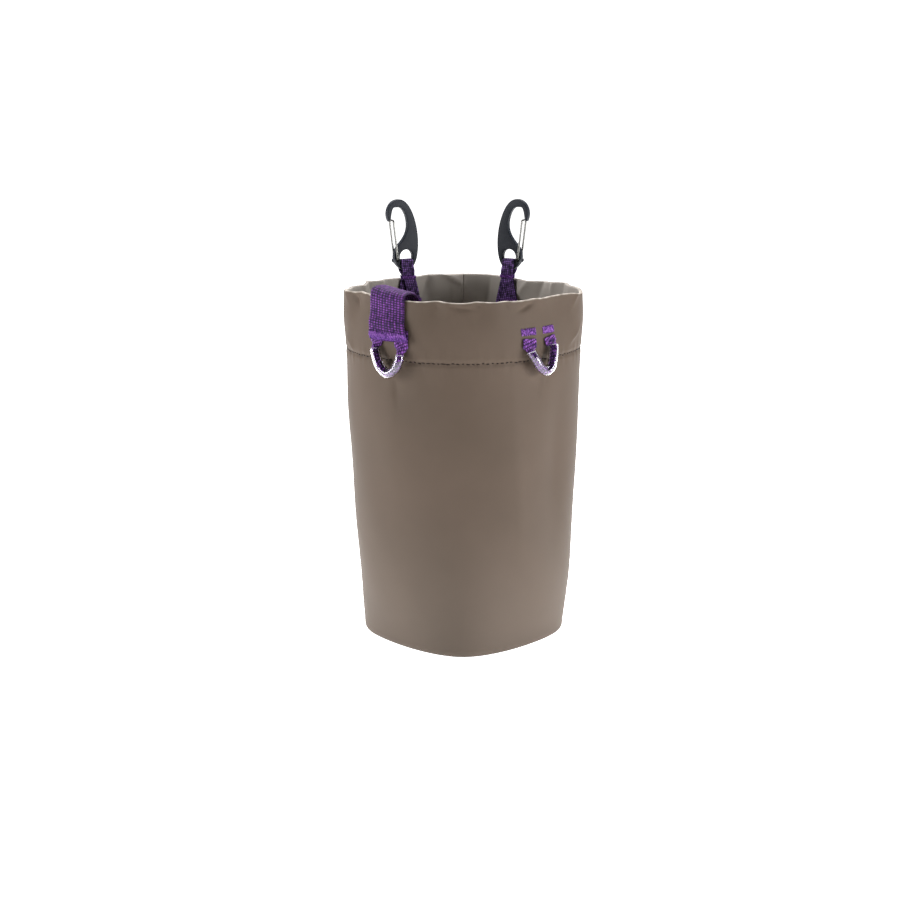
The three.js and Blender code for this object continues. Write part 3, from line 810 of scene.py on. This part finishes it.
# The line of each loop in mm: to the right of its angle, down from the rim, out from the wall; and how far
# below the rim the tube begins on the left and on the right
LOOPS = {
    "left": {"angle": -37.7, "tube": (34, 36.5), "line": [
        (-11.6, 20, 1.05), (-11.6, 27, 1.2), (-10.4, 34, 4), (-6, 41.5, 6.2), (-2.6, 46.2, 6.5),
        (2.6, 49, 6.5), (7.9, 45.6, 6.5), (10.4, 40.4, 6), (10.6, 36, 4.4), (9.9, 28, 1.3),
        (9.9, 20, 1.05)]},
    "right": {"angle": 41.2, "tube": (34.5, 32), "line": [
        (-10.4, 25.8, 1.25), (-10.6, 29, 1.5), (-11, 34.5, 4), (-8.7, 39.7, 6), (-5.2, 45.1, 6.5),
        (-0.5, 48, 6.5), (3.8, 45.7, 6.5), (5.8, 41.5, 6), (9.2, 32.4, 4.1), (8.9, 28.8, 1.5),
        (8.4, 26, 1.25)]},
}


def loop_line(loop):
    """The middle line of a tool loop, from its left end to its right end."""
    points = []
    for sideways, down, out in np.array(loop["line"]) * MM:
        height = RIM_HEIGHT - down
        angle = loop["angle"] + np.degrees(sideways / wall_radius(loop["angle"], height))
        points.append(around(angle, wall_radius(angle, height) + out, height))
    return Line(points)


def frames_along(line, along):
    """Middle, sideways and outward directions of a strip that faces away from the bag."""
    middle, forwards = line.at(along), line.direction(along)
    sideways = np.cross(middle * (1, 1, 0), forwards)
    sideways /= np.linalg.norm(sideways, axis=-1, keepdims=True)
    return middle, sideways, np.cross(forwards, sideways)


def tube_ends(line, loop):
    """Distances along the loop at which it goes into its tube and comes out of it."""
    first, last = [line.places[line.points[:, 2] <= RIM_HEIGHT - down * MM] for down in loop["tube"]]
    return first[0], last[-1]


def tool_loop(side, loop):
    line = loop_line(loop)
    first, last = tube_ends(line, loop)

    def on_loop(along, across, off):
        middle, sideways, outward = frames_along(line, along)
        towards_tube = np.minimum(along / first, (line.length - along) / (line.length - last))
        rolled = soft_step(towards_tube, ROLL_STARTS, ROLL_ENDS)
        turn = across / ROLL_RADIUS * rolled
        flat = across * np.sinc(turn / math.pi) + off * np.sin(turn)
        sunk = across * np.sin(turn / 2) * np.sinc(turn / 2 / math.pi)
        lifted = ROLL_RADIUS * rolled - sunk + off * np.cos(turn)
        return middle + sideways * flat[..., None] + outward * lifted[..., None]

    piece = webbing(f"tool_loop_{side}_webbing", on_loop, line.length, LOOP_WIDTH, LOOP_THICKNESS,
                    LOOP_WEAVE, LOOP_RELIEF, NARROW_WEBBING)
    place_in_frame(piece, "bag", "purple_webbing", f"tool_loop_{side}")
    return line, first, last


loop_lines = {side: tool_loop(side, loop) for side, loop in LOOPS.items()}

# %% [markdown]
# ## Sleeves
# Each loop wears a sleeve of clear tube that keeps it open for a tool. The tube needs both its walls, or
# the render would show a solid glass rod. Rings go down the outside and back up the inside, and the last
# ring joins the first.

# %% Sleeves
SLEEVE_OUTER = 3.35 * MM
SLEEVE_INNER = 2.7 * MM
SLEEVE_SIDES = 32
SLEEVE_STEPS = 60
# The cut ends are rounded over the first rings: how far in each lies, and how far its edge is taken back
END_RINGS = np.array([0, 0.12, 0.3]) * MM
END_ROUNDING = np.array([0.25, 0.08]) * MM
CUT_FACE = 0.2 * MM


def loop_sleeve(side, line, first, last):
    between = np.linspace(first + 1 * MM, last - 1 * MM, SLEEVE_STEPS)
    outside = np.concatenate([first + END_RINGS, between, last - END_RINGS[::-1]])
    along = np.concatenate([outside, outside[::-1]])[:, None]
    rounding = np.zeros(len(outside))
    rounding[[0, -1]], rounding[[1, -2]] = END_ROUNDING
    radius = np.concatenate([SLEEVE_OUTER - rounding, SLEEVE_INNER + rounding])[:, None]
    middle, sideways, outward = frames_along(line, along)
    turn = np.linspace(0, 2 * math.pi, SLEEVE_SIDES, endpoint=False)[None]
    points = (middle + sideways * (radius * np.cos(turn))[..., None]
              + outward * (radius * np.sin(turn))[..., None])
    # The cut faces, where the white painted highlight goes
    painted_cut_glint = np.minimum(abs(along - first), abs(along - last)) < CUT_FACE
    piece = grid_object(f"loop_sleeve_{side}_tube", points, TUBE, True, True, {"painted_cut_glint": painted_cut_glint + 0 * turn})
    place_in_frame(piece, "bag", "clear_tube", f"loop_sleeve_{side}")


for side, (line, first, last) in loop_lines.items():
    loop_sleeve(side, line, first, last)

# %% [markdown]
# ## Hooks
# The hooks are moulded in one flat piece, with an eye for the webbing and a small hole for the gate. A
# flat curve with Bezier handles draws that outline as a designer would, and the curve's own extrude and
# bevel give it thickness and soft edges. The hook's place comes from the gate's hinge in the frame, so
# that both always fit.

# %% Hook frames
PIVOT = (-7.3 * MM, -2.2 * MM)


def hook_frame(side):
    """Matrix of a hook's own frame: x towards its spine, y through it, z up from the middle of the eye."""
    hinge = next(joint for joint in frame["joints"] if joint["child"] == f"gate_{side}")
    through, up = Vector(hinge["axis"]).normalized(), Vector((0, 0, 1))
    spine = through.cross(up)
    eye = Vector(hinge["pos_m"]) - spine * PIVOT[0] - up * PIVOT[1]
    return Matrix.Translation(eye) @ Matrix((spine, through, up)).transposed().to_4x4()


HOOK_FRAMES = {side: hook_frame(side) for side in ("left", "right")}
print("hook eyes, mm", [[round(v / MM, 1) for v in m.translation] for m in HOOK_FRAMES.values()])

# %% Hook outline
HOOK_THICKNESS = 3.8 * MM
HOOK_BEVEL = 0.55 * MM
NOSE_TIP = (-13.6, 25.8)
# Each stretch of the outline in mm: the handle it leaves by, the handle it arrives by, and its end
HOOK_OUTLINE = [
    ((-17.2, 31), (-14.5, 41.3), (-5.5, 41.3)), ((3.5, 41.3), (9.9, 24), (9.9, 9.4)),
    ((9.9, -2), (7, -9.6), (0, -9.6)), ((-5.4, -9.6), (-9.6, -4.6), (-9.6, 0.2)),
    ((-9.6, 3.6), (-7.9, 6.8), (-6.4, 8.4)), ((-3, 11.8), (1.3, 16), (1.3, 22.6)),
    ((1.3, 29), (-2, 35.7), (-6, 35.7)), ((-7, 35.7), (-8, 35.7), (-9, 35.7)),
    ((-11.3, 35.7), (-11.7, 30.8), (-12.3, 27)), ((-12.7, 26.6), (-13.2, 26.2), NOSE_TIP),
]
EYE_START = (-5.1, 0)
EYE_OUTLINE = [
    ((-5.1, -1), (-5.1, -1.5), (-5.1, -2)), ((-5.1, -2.6), (-4.7, -3), (-4.1, -3)),
    ((-1, -3), (2, -3), (4.5, -3)), ((5.1, -3), (5.5, -2.6), (5.5, -2)),
    ((5.5, -1.5), (5.5, -1), (5.5, 0)), ((5.5, 2.93), (3.13, 5.3), (0.2, 5.3)),
    ((-2.73, 5.3), (-5.1, 2.93), EYE_START),
]
PIVOT_HOLE = 1.15
# Length of the handles that make four Bezier stretches a circle, as a share of its radius
CIRCLE_HANDLE = 0.5523


def draw(curve, stretches):
    """Add a closed Bezier outline to a curve, from (leave, arrive, end) stretches in mm."""
    spline = curve.splines.new("BEZIER")
    spline.bezier_points.add(len(stretches) - 1)
    spline.use_cyclic_u = True
    for number, (point, (_, arrive, end)) in enumerate(zip(spline.bezier_points, stretches)):
        leave = stretches[(number + 1) % len(stretches)][0]
        point.handle_left_type = point.handle_right_type = "FREE"
        places = [(x * MM, z * MM, 0) for x, z in (end, arrive, leave)]
        point.co, point.handle_left, point.handle_right = places


def hole(x, z, radius):
    """Stretches of a round hole, clockwise."""
    k = CIRCLE_HANDLE * radius
    return [((x - radius, z + k), (x - k, z + radius), (x, z + radius)),
            ((x + k, z + radius), (x + radius, z + k), (x + radius, z)),
            ((x + radius, z - k), (x + k, z - radius), (x, z - radius)),
            ((x - k, z - radius), (x - radius, z - k), (x - radius, z))]


def plate(name, outlines, thickness, bevel):
    """Mesh of a flat shape, thickened evenly about its own plane, which stands upright."""
    curve = bpy.data.curves.new(name, "CURVE")
    curve.dimensions = "2D"
    curve.fill_mode = "BOTH"
    curve.resolution_u = 14
    curve.extrude = thickness / 2 - bevel
    curve.bevel_depth = bevel
    curve.bevel_resolution = 3
    curve.offset = -bevel
    for outline in outlines:
        draw(curve, outline)
    drawing = bpy.data.objects.new(name, curve)
    mesh = bpy.data.meshes.new_from_object(drawing)
    mesh.transform(Matrix.Rotation(math.pi / 2, 4, "X"))
    bpy.data.objects.remove(drawing)
    return mesh


HOOK_PLATE = plate("hook_plate", [HOOK_OUTLINE, EYE_OUTLINE, hole(PIVOT[0] / MM, PIVOT[1] / MM, PIVOT_HOLE)],
                   HOOK_THICKNESS, HOOK_BEVEL)
plate_points = np.array([v.co for v in HOOK_PLATE.vertices]) / MM
print("hook plate, mm, from", plate_points.min(0).round(2), "to", plate_points.max(0).round(2))

# %% Hooks
GUARD_INNER, GUARD_OUTER = 1.35, 2.2
GUARD_HEIGHT = 1.3 * MM
GUARD_SINK = 0.4 * MM
GUARD_BEVEL = 0.2 * MM
GUARD_TURNS = (155, 285)
SHARP_ANGLE = 35


def straight_stretches(points):
    """Bezier stretches for a closed outline of straight edges."""
    stretches = []
    for start, end in zip(points[-1:] + points[:-1], points):
        leave = [a + (b - a) / 3 for a, b in zip(start, end)]
        arrive = [b + (a - b) / 3 for a, b in zip(start, end)]
        stretches.append((leave, arrive, end))
    return stretches


def guard_outline():
    """A crescent round the hole of the gate, on the side where the wire doesn't pass."""
    turns = np.radians(np.linspace(*GUARD_TURNS, 13))
    ring = [(GUARD_OUTER, turn) for turn in turns] + [(GUARD_INNER, turn) for turn in turns[::-1]]
    return [(PIVOT[0] / MM + r * math.cos(turn), PIVOT[1] / MM + r * math.sin(turn)) for r, turn in ring]


def hook(side):
    parts = [HOOK_PLATE]
    guard_thickness = GUARD_HEIGHT + GUARD_SINK
    guard_middle = HOOK_THICKNESS / 2 + GUARD_HEIGHT - guard_thickness / 2
    for face in (-1, 1):
        guard = plate("guard", [straight_stretches(guard_outline())], guard_thickness, GUARD_BEVEL)
        guard.transform(Matrix.Translation((0, face * guard_middle, 0)))
        parts.append(guard)
    build = bmesh.new()
    for part in parts:
        build.from_mesh(part)
    bmesh.ops.remove_doubles(build, verts=build.verts, dist=1e-6)
    mesh = bpy.data.meshes.new(f"hook_{side}_nylon")
    build.to_mesh(mesh)
    build.free()
    mesh.transform(HOOK_FRAMES[side])
    mesh.materials.append(NYLON)
    piece = finished(f"hook_{side}_nylon", mesh)
    mesh.set_sharp_from_angle(angle=math.radians(SHARP_ANGLE))
    place_in_frame(piece, "bag", "hook_plastic", f"hook_{side}")


for side in HOOK_FRAMES:
    hook(side)

# %% [markdown]
# ## Rods and threads along a path
# A wire gate, a bartack and any other round thing of even thickness is a path with a circle swept along
# it. A small Geometry Nodes tree does that: the path comes in as the edges of a mesh, and the radius, the
# number of sides and the material are its inputs. The result is turned into a plain mesh at once.

# %% Rod tree
def new_tree(name, inputs):
    """A Geometry Nodes tree with a geometry input, the given inputs, and a geometry output."""
    tree = bpy.data.node_groups.new(name, "GeometryNodeTree")
    tree.interface.new_socket("Path", in_out="INPUT", socket_type="NodeSocketGeometry")
    for key, kind in inputs.items():
        tree.interface.new_socket(key, in_out="INPUT", socket_type=kind)
    tree.interface.new_socket("Mesh", in_out="OUTPUT", socket_type="NodeSocketGeometry")
    return tree, add(tree, "NodeGroupInput").outputs


def end_tree(tree, shape, material):
    """Close a tree: real faces instead of instances, smooth, in one material."""
    real = add(tree, "GeometryNodeRealizeInstances", {"Geometry": shape})
    smooth = add(tree, "GeometryNodeSetShadeSmooth", {"Geometry": real.outputs[0]})
    painted = add(tree, "GeometryNodeSetMaterial", {"Geometry": smooth.outputs[0], "Material": material})
    add(tree, "NodeGroupOutput", {"Mesh": painted.outputs[0]})


def swept(tree, curve, radius, sides):
    """A rod of even thickness along a curve."""
    ring = add(tree, "GeometryNodeCurvePrimitiveCircle", {"Resolution": sides, "Radius": radius})
    return add(tree, "GeometryNodeCurveToMesh", {
        "Curve": curve, "Profile Curve": ring.outputs["Curve"], "Fill Caps": True}).outputs["Mesh"]


def rod_tree():
    tree, given = new_tree("rod_along_path", {
        "Radius": "NodeSocketFloat", "Sides": "NodeSocketInt", "Material": "NodeSocketMaterial"})
    line = add(tree, "GeometryNodeMeshToCurve", {"Mesh": given["Path"]})
    end_tree(tree, swept(tree, line.outputs["Curve"], given["Radius"], given["Sides"]), given["Material"])
    return tree


def path_mesh(name, paths, closed=False, outward=None):
    """A mesh of edges along one or more paths of points, with an outward direction if given."""
    points, edges = [], []
    for path in paths:
        first = len(points)
        points += [tuple(point) for point in path]
        edges += [(i, i + 1) for i in range(first, len(points) - 1)]
        if closed:
            edges.append((len(points) - 1, first))
    mesh = bpy.data.meshes.new(name)
    mesh.from_pydata(points, edges, [])
    if outward is not None:
        attribute = mesh.attributes.new("outward", "FLOAT_VECTOR", "POINT")
        attribute.data.foreach_set("vector", np.concatenate(outward).astype(np.float32).ravel())
    return mesh


def grow(name, tree, path, **sizes):
    """Run a tree on a path and keep what it makes as a plain object."""
    seed = bpy.data.objects.new(name, path)
    scene.collection.objects.link(seed)
    modifier = seed.modifiers.new("grow", "NODES")
    modifier.node_group = tree
    for item in tree.interface.items_tree:
        if item.in_out == "INPUT" and item.name in sizes:
            modifier[item.identifier] = sizes[item.name]
    graph = bpy.context.evaluated_depsgraph_get()
    mesh = bpy.data.meshes.new_from_object(seed.evaluated_get(graph), depsgraph=graph)
    bpy.data.objects.remove(seed)
    mesh.name = name
    return finished(name, mesh)


ROD = rod_tree()

# %% [markdown]
# ## Wire gates
# A gate is one length of sprung wire, bent to a narrow U. Its two ends turn inwards and sit in the hole of
# the hook, one from each face, and its closed end rests against the inside of the nose. The bends are
# small quarter turns, so the path is straight runs with short curves in place of the corners.

# %% Gates
WIRE_RADIUS = 0.75 * MM
WIRE_CORNER = 1.4 * MM
WIRE_END = 0.3 * MM
GATE_LEG = 2.95 * MM
GATE_TOP = (-11 * MM, 26.5 * MM)


def rounded_path(points, corner, steps=8):
    """A path through points whose inner corners are rounded."""
    points = [Vector(point) for point in points]
    path = [points[0]]
    for before, point, after in zip(points, points[1:], points[2:]):
        enter = point + (before - point).normalized() * corner
        leave = point + (after - point).normalized() * corner
        for t in np.linspace(0, 1, steps):
            path.append(enter.lerp(point, t).lerp(point.lerp(leave, t), t))
    return path + [points[-1]]


def wire_gate(side):
    (x, z), (top_x, top_z) = PIVOT, GATE_TOP
    half = [(x, -WIRE_END, z), (x, -GATE_LEG, z), (top_x, -GATE_LEG, top_z)]
    corners = half + [(a, -b, c) for a, b, c in half[::-1]]
    path = [HOOK_FRAMES[side] @ point for point in rounded_path(corners, WIRE_CORNER)]
    piece = grow(f"gate_{side}_wire", ROD, path_mesh("wire", [path]), Radius=WIRE_RADIUS, Sides=20,
                 Material=STEEL)
    place_in_frame(piece, f"gate_{side}", "gate_wire", f"gate_{side}")


for side in HOOK_FRAMES:
    wire_gate(side)

# %% [markdown]
# ## Hook straps
# A short tab of webbing goes up through the eye of each hook and back down, and its two legs are sewn to
# the inside of the hem. The line is drawn in the hook's own frame. The legs start close together and
# fan out a little towards their lower ends, which a third number along the line carries.

# %% Hook straps
TAB_WIDTH = 10 * MM
TAB_THICKNESS = 1.2 * MM
TAB_WEAVE = (1.65 * MM, 1.3 * MM, 0.08)
TAB_RELIEF = 0.3 * MM
TAB_MIDDLE = 0.2
# From the lower end up to the top of the bend, in mm: y through the hook, z up, and x sideways
TAB_LEG = [(-0.95, -34, 7.4), (-0.95, -20, 4), (-0.95, -14, 2.1), (-2.8, -10, 1), (-2.8, -6.5, 0.2),
           (-2.8, -3.3, 0), (-2.45, -2.45, 0), (-1.6, -2.1, 0)]
TAB_BACK = [(0.95, -34, -2.2), (0.95, -20, 0.8), (0.95, -14, 2.1), (2.8, -10, 1), (2.8, -6.5, 0.2),
            (2.8, -3.3, 0), (2.45, -2.45, 0), (1.6, -2.1, 0)]
TAB_LINE = Line(np.array(TAB_LEG + TAB_BACK[::-1]) * MM)


def on_tab(side):
    """The rule that bends a flat strip into the tab of one hook."""
    matrix = np.array(HOOK_FRAMES[side])

    def place(along, across, off):
        y, z, x = np.moveaxis(TAB_LINE.at(along), -1, 0)
        step = TAB_LINE.direction(along)[..., :2]
        step = step / np.linalg.norm(step, axis=-1, keepdims=True)
        y_step, z_step = np.moveaxis(step, -1, 0)
        local = np.stack(np.broadcast_arrays(
            x + TAB_MIDDLE * MM + across, y - z_step * off, z + y_step * off), axis=-1)
        return local @ matrix[:3, :3].T + matrix[:3, 3]

    return place


for side in HOOK_FRAMES:
    tab = webbing(f"hook_strap_{side}_webbing", on_tab(side), TAB_LINE.length, TAB_WIDTH, TAB_THICKNESS,
                  TAB_WEAVE, TAB_RELIEF, DARK_WEBBING)
    place_in_frame(tab, "bag", "purple_webbing", f"hook_strap_{side}")

# %% [markdown]
# ## Bartacks
# A bartack is a dense zigzag of thread that locks a strap's end. The needle goes to and fro over a short
# bar while the cloth creeps on, so the path is a zigzag laid on the strap, a little off its face. Each
# bar gets a slightly uneven step from a seeded random generator, as sewn work has.

# %% Bartacks
THREAD_RADIUS = 0.36 * MM
DENSE_PITCH = 0.9 * MM
LOOSE_PITCH = 1.7 * MM
# How uneven the steps and the ends of the bars are, and how far a thread rises in the middle of its bar
STEP_JITTER = 0.07 * MM
END_JITTER = 0.18 * MM
THREAD_ARCH = 0.22 * MM
POINTS_A_STEP = 3
UPPER_LIFT = 0.3 * MM
UPPER_SEEDS = 20


def zigzag(place, middle, size, off, pitch, seed):
    """Points of a bartack: middle and size are along and across; the zigzag runs across."""
    chance = np.random.default_rng(seed)
    count = int(size[1] / pitch) * 2
    number = np.arange(count)
    across = middle[1] + np.linspace(-0.5, 0.5, count) * size[1] + chance.normal(0, STEP_JITTER, count)
    ends = np.where(number % 2, 0.5, -0.5) * size[0] + chance.normal(0, END_JITTER, count)
    steps = np.arange((count - 1) * POINTS_A_STEP + 1) / POINTS_A_STEP
    across, ends = np.interp(steps, number, across), np.interp(steps, number, ends)
    lift = off + THREAD_ARCH * np.cos(math.pi * ends / size[0])
    return place(middle[0] + ends, across, lift)


def on_hem(loop):
    """Points on the hem above a tool loop: along is down from the rim, across is sideways."""
    def place(along, across, off):
        angle = loop["angle"] + np.degrees(across / wall_radius(loop["angle"], RIM_HEIGHT))
        return skin(angle, RIM_HEIGHT - along, off)

    return place


STRAP_FACE = STRAP_THICKNESS / 2 - 0.1 * MM
RIGHT_LOOP = LOOPS["right"]
# Size of the bartacks along and across
STRAP_BAR = (3.6 * MM, STRAP_WIDTH)
HEM_BAR = (4.6 * MM, 12 * MM)
TAB_BAR = (2.6 * MM, 10.4 * MM)
# Where the legs of a tab meet, and near their lower ends, in mm up from the eye
TAB_BAR_HEIGHTS = (-14.5, -31.5)
# The first samples of the tab's line lie on its first leg
first_leg = slice(0, 300)
# Each bartack: the rule that lays it down, its middle and size, and how far off the middle it lies
places = [(on_rim_strap, (4.4 * MM, 0), STRAP_BAR, STRAP_FACE)]
for sideways, down, _ in (RIGHT_LOOP["line"][0], RIGHT_LOOP["line"][-1]):
    places.append((on_hem(RIGHT_LOOP), (down * MM - HEM_BAR[0], sideways * MM), HEM_BAR, 0.05 * MM))
for side in HOOK_FRAMES:
    for height in TAB_BAR_HEIGHTS:
        along = np.interp(height * MM, TAB_LINE.points[first_leg, 1], TAB_LINE.places[first_leg])
        for leg in (along, TAB_LINE.length - along):
            places.append((on_tab(side), (leg, 0), TAB_BAR, TAB_THICKNESS / 2))
# The dense ground takes the darker copy of the thread, painted shade under the strokes, and the loose upper
# layer takes the lighter copy, painted light
ground = [zigzag(*place, DENSE_PITCH, seed) for seed, place in enumerate(places)]
ground.append(zigzag(on_rim_strap, (2 * MM, 0), (3 * MM, STRAP_WIDTH), STRAP_FACE, DENSE_PITCH, len(places)))
over = [zigzag(rule, middle, size, off + UPPER_LIFT, LOOSE_PITCH, UPPER_SEEDS + seed)
        for seed, (rule, middle, size, off) in enumerate(places)]
layers = {"bartack_ground": (ground, SHADED_BARTACK_THREAD), "bartack_threads": (over, LIT_BARTACK_THREAD)}
for name, (bars, material) in layers.items():
    bartacks = grow(name, ROD, path_mesh(name, bars), Radius=THREAD_RADIUS, Sides=6, Material=material)
    place_in_frame(bartacks, "bag", "purple_webbing")

# %% [markdown]
# ## Stitching
# The hem is held by one row of straight stitches, and so is the lap of the back seam. A stitch is a
# short arc of thread that dips into the cloth at both ends. The tree resamples a path to the stitch
# pitch and puts one arc on each point, turned along the path and away from the cloth, with a little
# random slant.

# %% Stitch tree
STITCH_SEED = 7
STITCH_SIDES = 6
# How deep the ends of a stitch dip and how high its middle is drawn up, in thread radii
STITCH_DIP, STITCH_CROWN = -1.2, 1.8
# Shortest and longest stitch, as a share of the stitch length
SHORTEST, LONGEST = 0.5, 1.1


def times(tree, value, factor):
    """A value multiplied by a factor."""
    return add(tree, "ShaderNodeMath", {0: value, 1: factor}, operation="MULTIPLY").outputs[0]


def stitch_tree():
    tree, given = new_tree("stitch_row", {
        "Pitch": "NodeSocketFloat", "Length": "NodeSocketFloat", "Radius": "NodeSocketFloat",
        "Slant": "NodeSocketFloat", "Material": "NodeSocketMaterial"})
    line = add(tree, "GeometryNodeMeshToCurve", {"Mesh": given["Path"]})
    dots = add(tree, "GeometryNodeResampleCurve", {"Curve": line.outputs["Curve"], "Length": given["Pitch"]},
               mode="LENGTH")
    half = times(tree, given["Length"], 0.5)
    dip = times(tree, given["Radius"], STITCH_DIP)
    start = add(tree, "ShaderNodeCombineXYZ", {"X": times(tree, half, -1.0), "Z": dip})
    middle = add(tree, "ShaderNodeCombineXYZ", {"Z": times(tree, given["Radius"], STITCH_CROWN)})
    end = add(tree, "ShaderNodeCombineXYZ", {"X": half, "Z": dip})
    arc = add(tree, "GeometryNodeCurveQuadraticBezier", {
        "Resolution": 6, "Start": start.outputs[0], "Middle": middle.outputs[0], "End": end.outputs[0]})
    stitch = swept(tree, arc.outputs["Curve"], given["Radius"], STITCH_SIDES)
    tangent = add(tree, "GeometryNodeInputTangent")
    outward = add(tree, "GeometryNodeInputNamedAttribute", {"Name": "outward"}, data_type="FLOAT_VECTOR")
    along = add(tree, "FunctionNodeAlignRotationToVector", {"Vector": tangent.outputs[0]}, axis="X")
    upright = add(tree, "FunctionNodeAlignRotationToVector", {
        "Rotation": along.outputs[0], "Vector": outward.outputs[0]}, axis="Z", pivot_axis="X")
    slant = add(tree, "FunctionNodeRandomValue", {
        2: times(tree, given["Slant"], -1.0), 3: given["Slant"], "Seed": STITCH_SEED})
    turn = add(tree, "ShaderNodeCombineXYZ", {"Z": slant.outputs[1]})
    twist = add(tree, "FunctionNodeEulerToRotation", {"Euler": turn.outputs[0]})
    turned = add(tree, "FunctionNodeRotateRotation", {
        "Rotation": upright.outputs[0], "Rotate By": twist.outputs[0]}, rotation_space="LOCAL")
    size = add(tree, "FunctionNodeRandomValue", {
        0: (SHORTEST, 1, 1), 1: (LONGEST, 1, 1), "Seed": STITCH_SEED + 1}, data_type="FLOAT_VECTOR")
    row = add(tree, "GeometryNodeInstanceOnPoints", {
        "Points": dots.outputs["Curve"], "Instance": stitch, "Rotation": turned.outputs[0],
        "Scale": size.outputs[0]})
    end_tree(tree, row.outputs[0], given["Material"])
    return tree


STITCH = stitch_tree()

# %% Hem and seam stitches
STITCH_PITCH = 3.5 * MM
STITCH_LENGTH = 2.9 * MM
STITCH_RADIUS = 0.45 * MM
SEAM_ROW_INSET = 3 * MM
SEAM_ROW_TOP, SEAM_ROW_FOOT = RIM_HEIGHT - 7 * MM, 14 * MM
ROW_SWAY = 0.6 * MM


def hem_row(out, sign, lap):
    """The hem's row on the outer face, or on the inner one with sign -1; lap is the seam's share there."""
    angle = np.linspace(0, 360, 720, endpoint=False)
    height = RIM_HEIGHT - HEM_DEPTH + ROW_SWAY * pucker(2 * angle)
    return skin(angle, height, out + lap * back_seam(angle, height)), sign * around(angle, 1.0, 0 * angle)


def seam_row():
    """The row down the lap of the back seam."""
    height = np.linspace(SEAM_ROW_TOP, SEAM_ROW_FOOT, 200)
    angle = 180 + np.degrees(SEAM_ROW_INSET / MEAN_RADIUS) + 0 * height
    return skin(angle, height, back_seam(angle, height)), around(angle, 1.0, 0 * angle)


hem_rows = [hem_row(0.0, 1, 1), hem_row(-HEM_THICKNESS, -1, INNER_LAP)]
kinds = [("hem_stitches", hem_rows, True, 0.16), ("seam_stitches", [seam_row()], False, 0.1)]
for name, rows, closed, slant in kinds:
    lines, outward = zip(*rows)
    stitches = grow(name, STITCH, path_mesh(f"{name}_path", lines, closed, outward), Pitch=STITCH_PITCH,
                    Length=STITCH_LENGTH, Radius=STITCH_RADIUS, Slant=slant, Material=HEM_THREAD)
    place_in_frame(stitches, "bag", "coated_fabric")

# %% [markdown]
# ## Floor and light
# The photograph was lit from both sides in front of a white wall, with the room behind the camera left
# dim. That is why the middle of the body is darker than its sides. The world is made the same way: it is
# white behind the bag and along the horizon, and dim at the front and overhead. The floor glows, most of
# all round the bag, so that it stays white and lightens the foot. Two low soft boxes light the sides. A
# third hangs behind the bag, where it brightens the rim and the strap but not the inside of the back.
# The Standard view shows the colours as they were picked.

# %% Floor and light
FLOOR_SIZE = 120
# The floor's glow near the bag and far from it, and the distances between which it changes
GLOW_STRENGTH = (1.3, 0.95)
GLOW_REACH = (0.1, 0.7)


def floor():
    material, tree = new_material("matt_white_floor")
    where = add(tree, "ShaderNodeTexCoord")
    away = add(tree, "ShaderNodeVectorMath", {0: where.outputs["Object"]}, operation="LENGTH")
    glow = ranged(tree, away.outputs["Value"], *GLOW_STRENGTH, *GLOW_REACH)
    surface(tree, {"Base Color": linear("f6f6f6"), "Roughness": 0.9, "Emission Color": linear("ffffff"),
                   "Emission Strength": glow})
    mesh = bpy.data.meshes.new("floor")
    side = FLOOR_SIZE / 2
    corners = [(-side, -side, 0), (side, -side, 0), (side, side, 0), (-side, side, 0)]
    mesh.from_pydata(corners, [], [(0, 1, 2, 3)])
    mesh.materials.append(material)
    piece = bpy.data.objects.new("floor", mesh)
    scene.collection.objects.link(piece)


def soft_box(name, place, target, size, watts):
    """A rectangular area light that faces a point."""
    data = bpy.data.lights.new(name, "AREA")
    data.shape = "RECTANGLE"
    data.size, data.size_y = size
    data.energy = watts
    light = bpy.data.objects.new(name, data)
    light.location = place
    light.rotation_euler = (Vector(target) - Vector(place)).to_track_quat("-Z", "Y").to_euler()
    scene.collection.objects.link(light)


def white_room():
    """A world that is white behind the bag and along the horizon, and dim elsewhere."""
    world = bpy.data.worlds.new("white room")
    world.use_nodes = True
    tree = world.node_tree
    tree.nodes.clear()
    where = add(tree, "ShaderNodeTexCoord")
    direction = add(tree, "ShaderNodeSeparateXYZ", {"Vector": where.outputs["Generated"]})
    front = ranged(tree, direction.outputs["Y"], 0.06, 1.05, -0.2, 0.9)
    ceiling = ranged(tree, direction.outputs["Z"], 1.0, 0.25, 0.15, 1.0)
    room = times(tree, front, ceiling)
    horizon = ranged(tree, direction.outputs["Z"], 1.05, 0.0, 0.03, 0.15)
    strength = add(tree, "ShaderNodeMath", {0: room, 1: horizon}, operation="MAXIMUM")
    sky = add(tree, "ShaderNodeBackground", {"Color": linear("ffffff"), "Strength": strength.outputs[0]})
    add(tree, "ShaderNodeOutputWorld", {"Surface": sky.outputs[0]})
    scene.world = world


floor()
soft_box("left box", (-1.5, -0.35, 0.47), (0, 0, 0.12), (0.9, 0.75), 31)
soft_box("right box", (1.4, -0.66, 0.3), (0, 0, 0.12), (0.9, 0.6), 33)
soft_box("top box", (0, 0.6, 1.7), (0, 0, 0.2), (1.4, 0.9), 75)
white_room()
scene.view_settings.view_transform = "Standard"
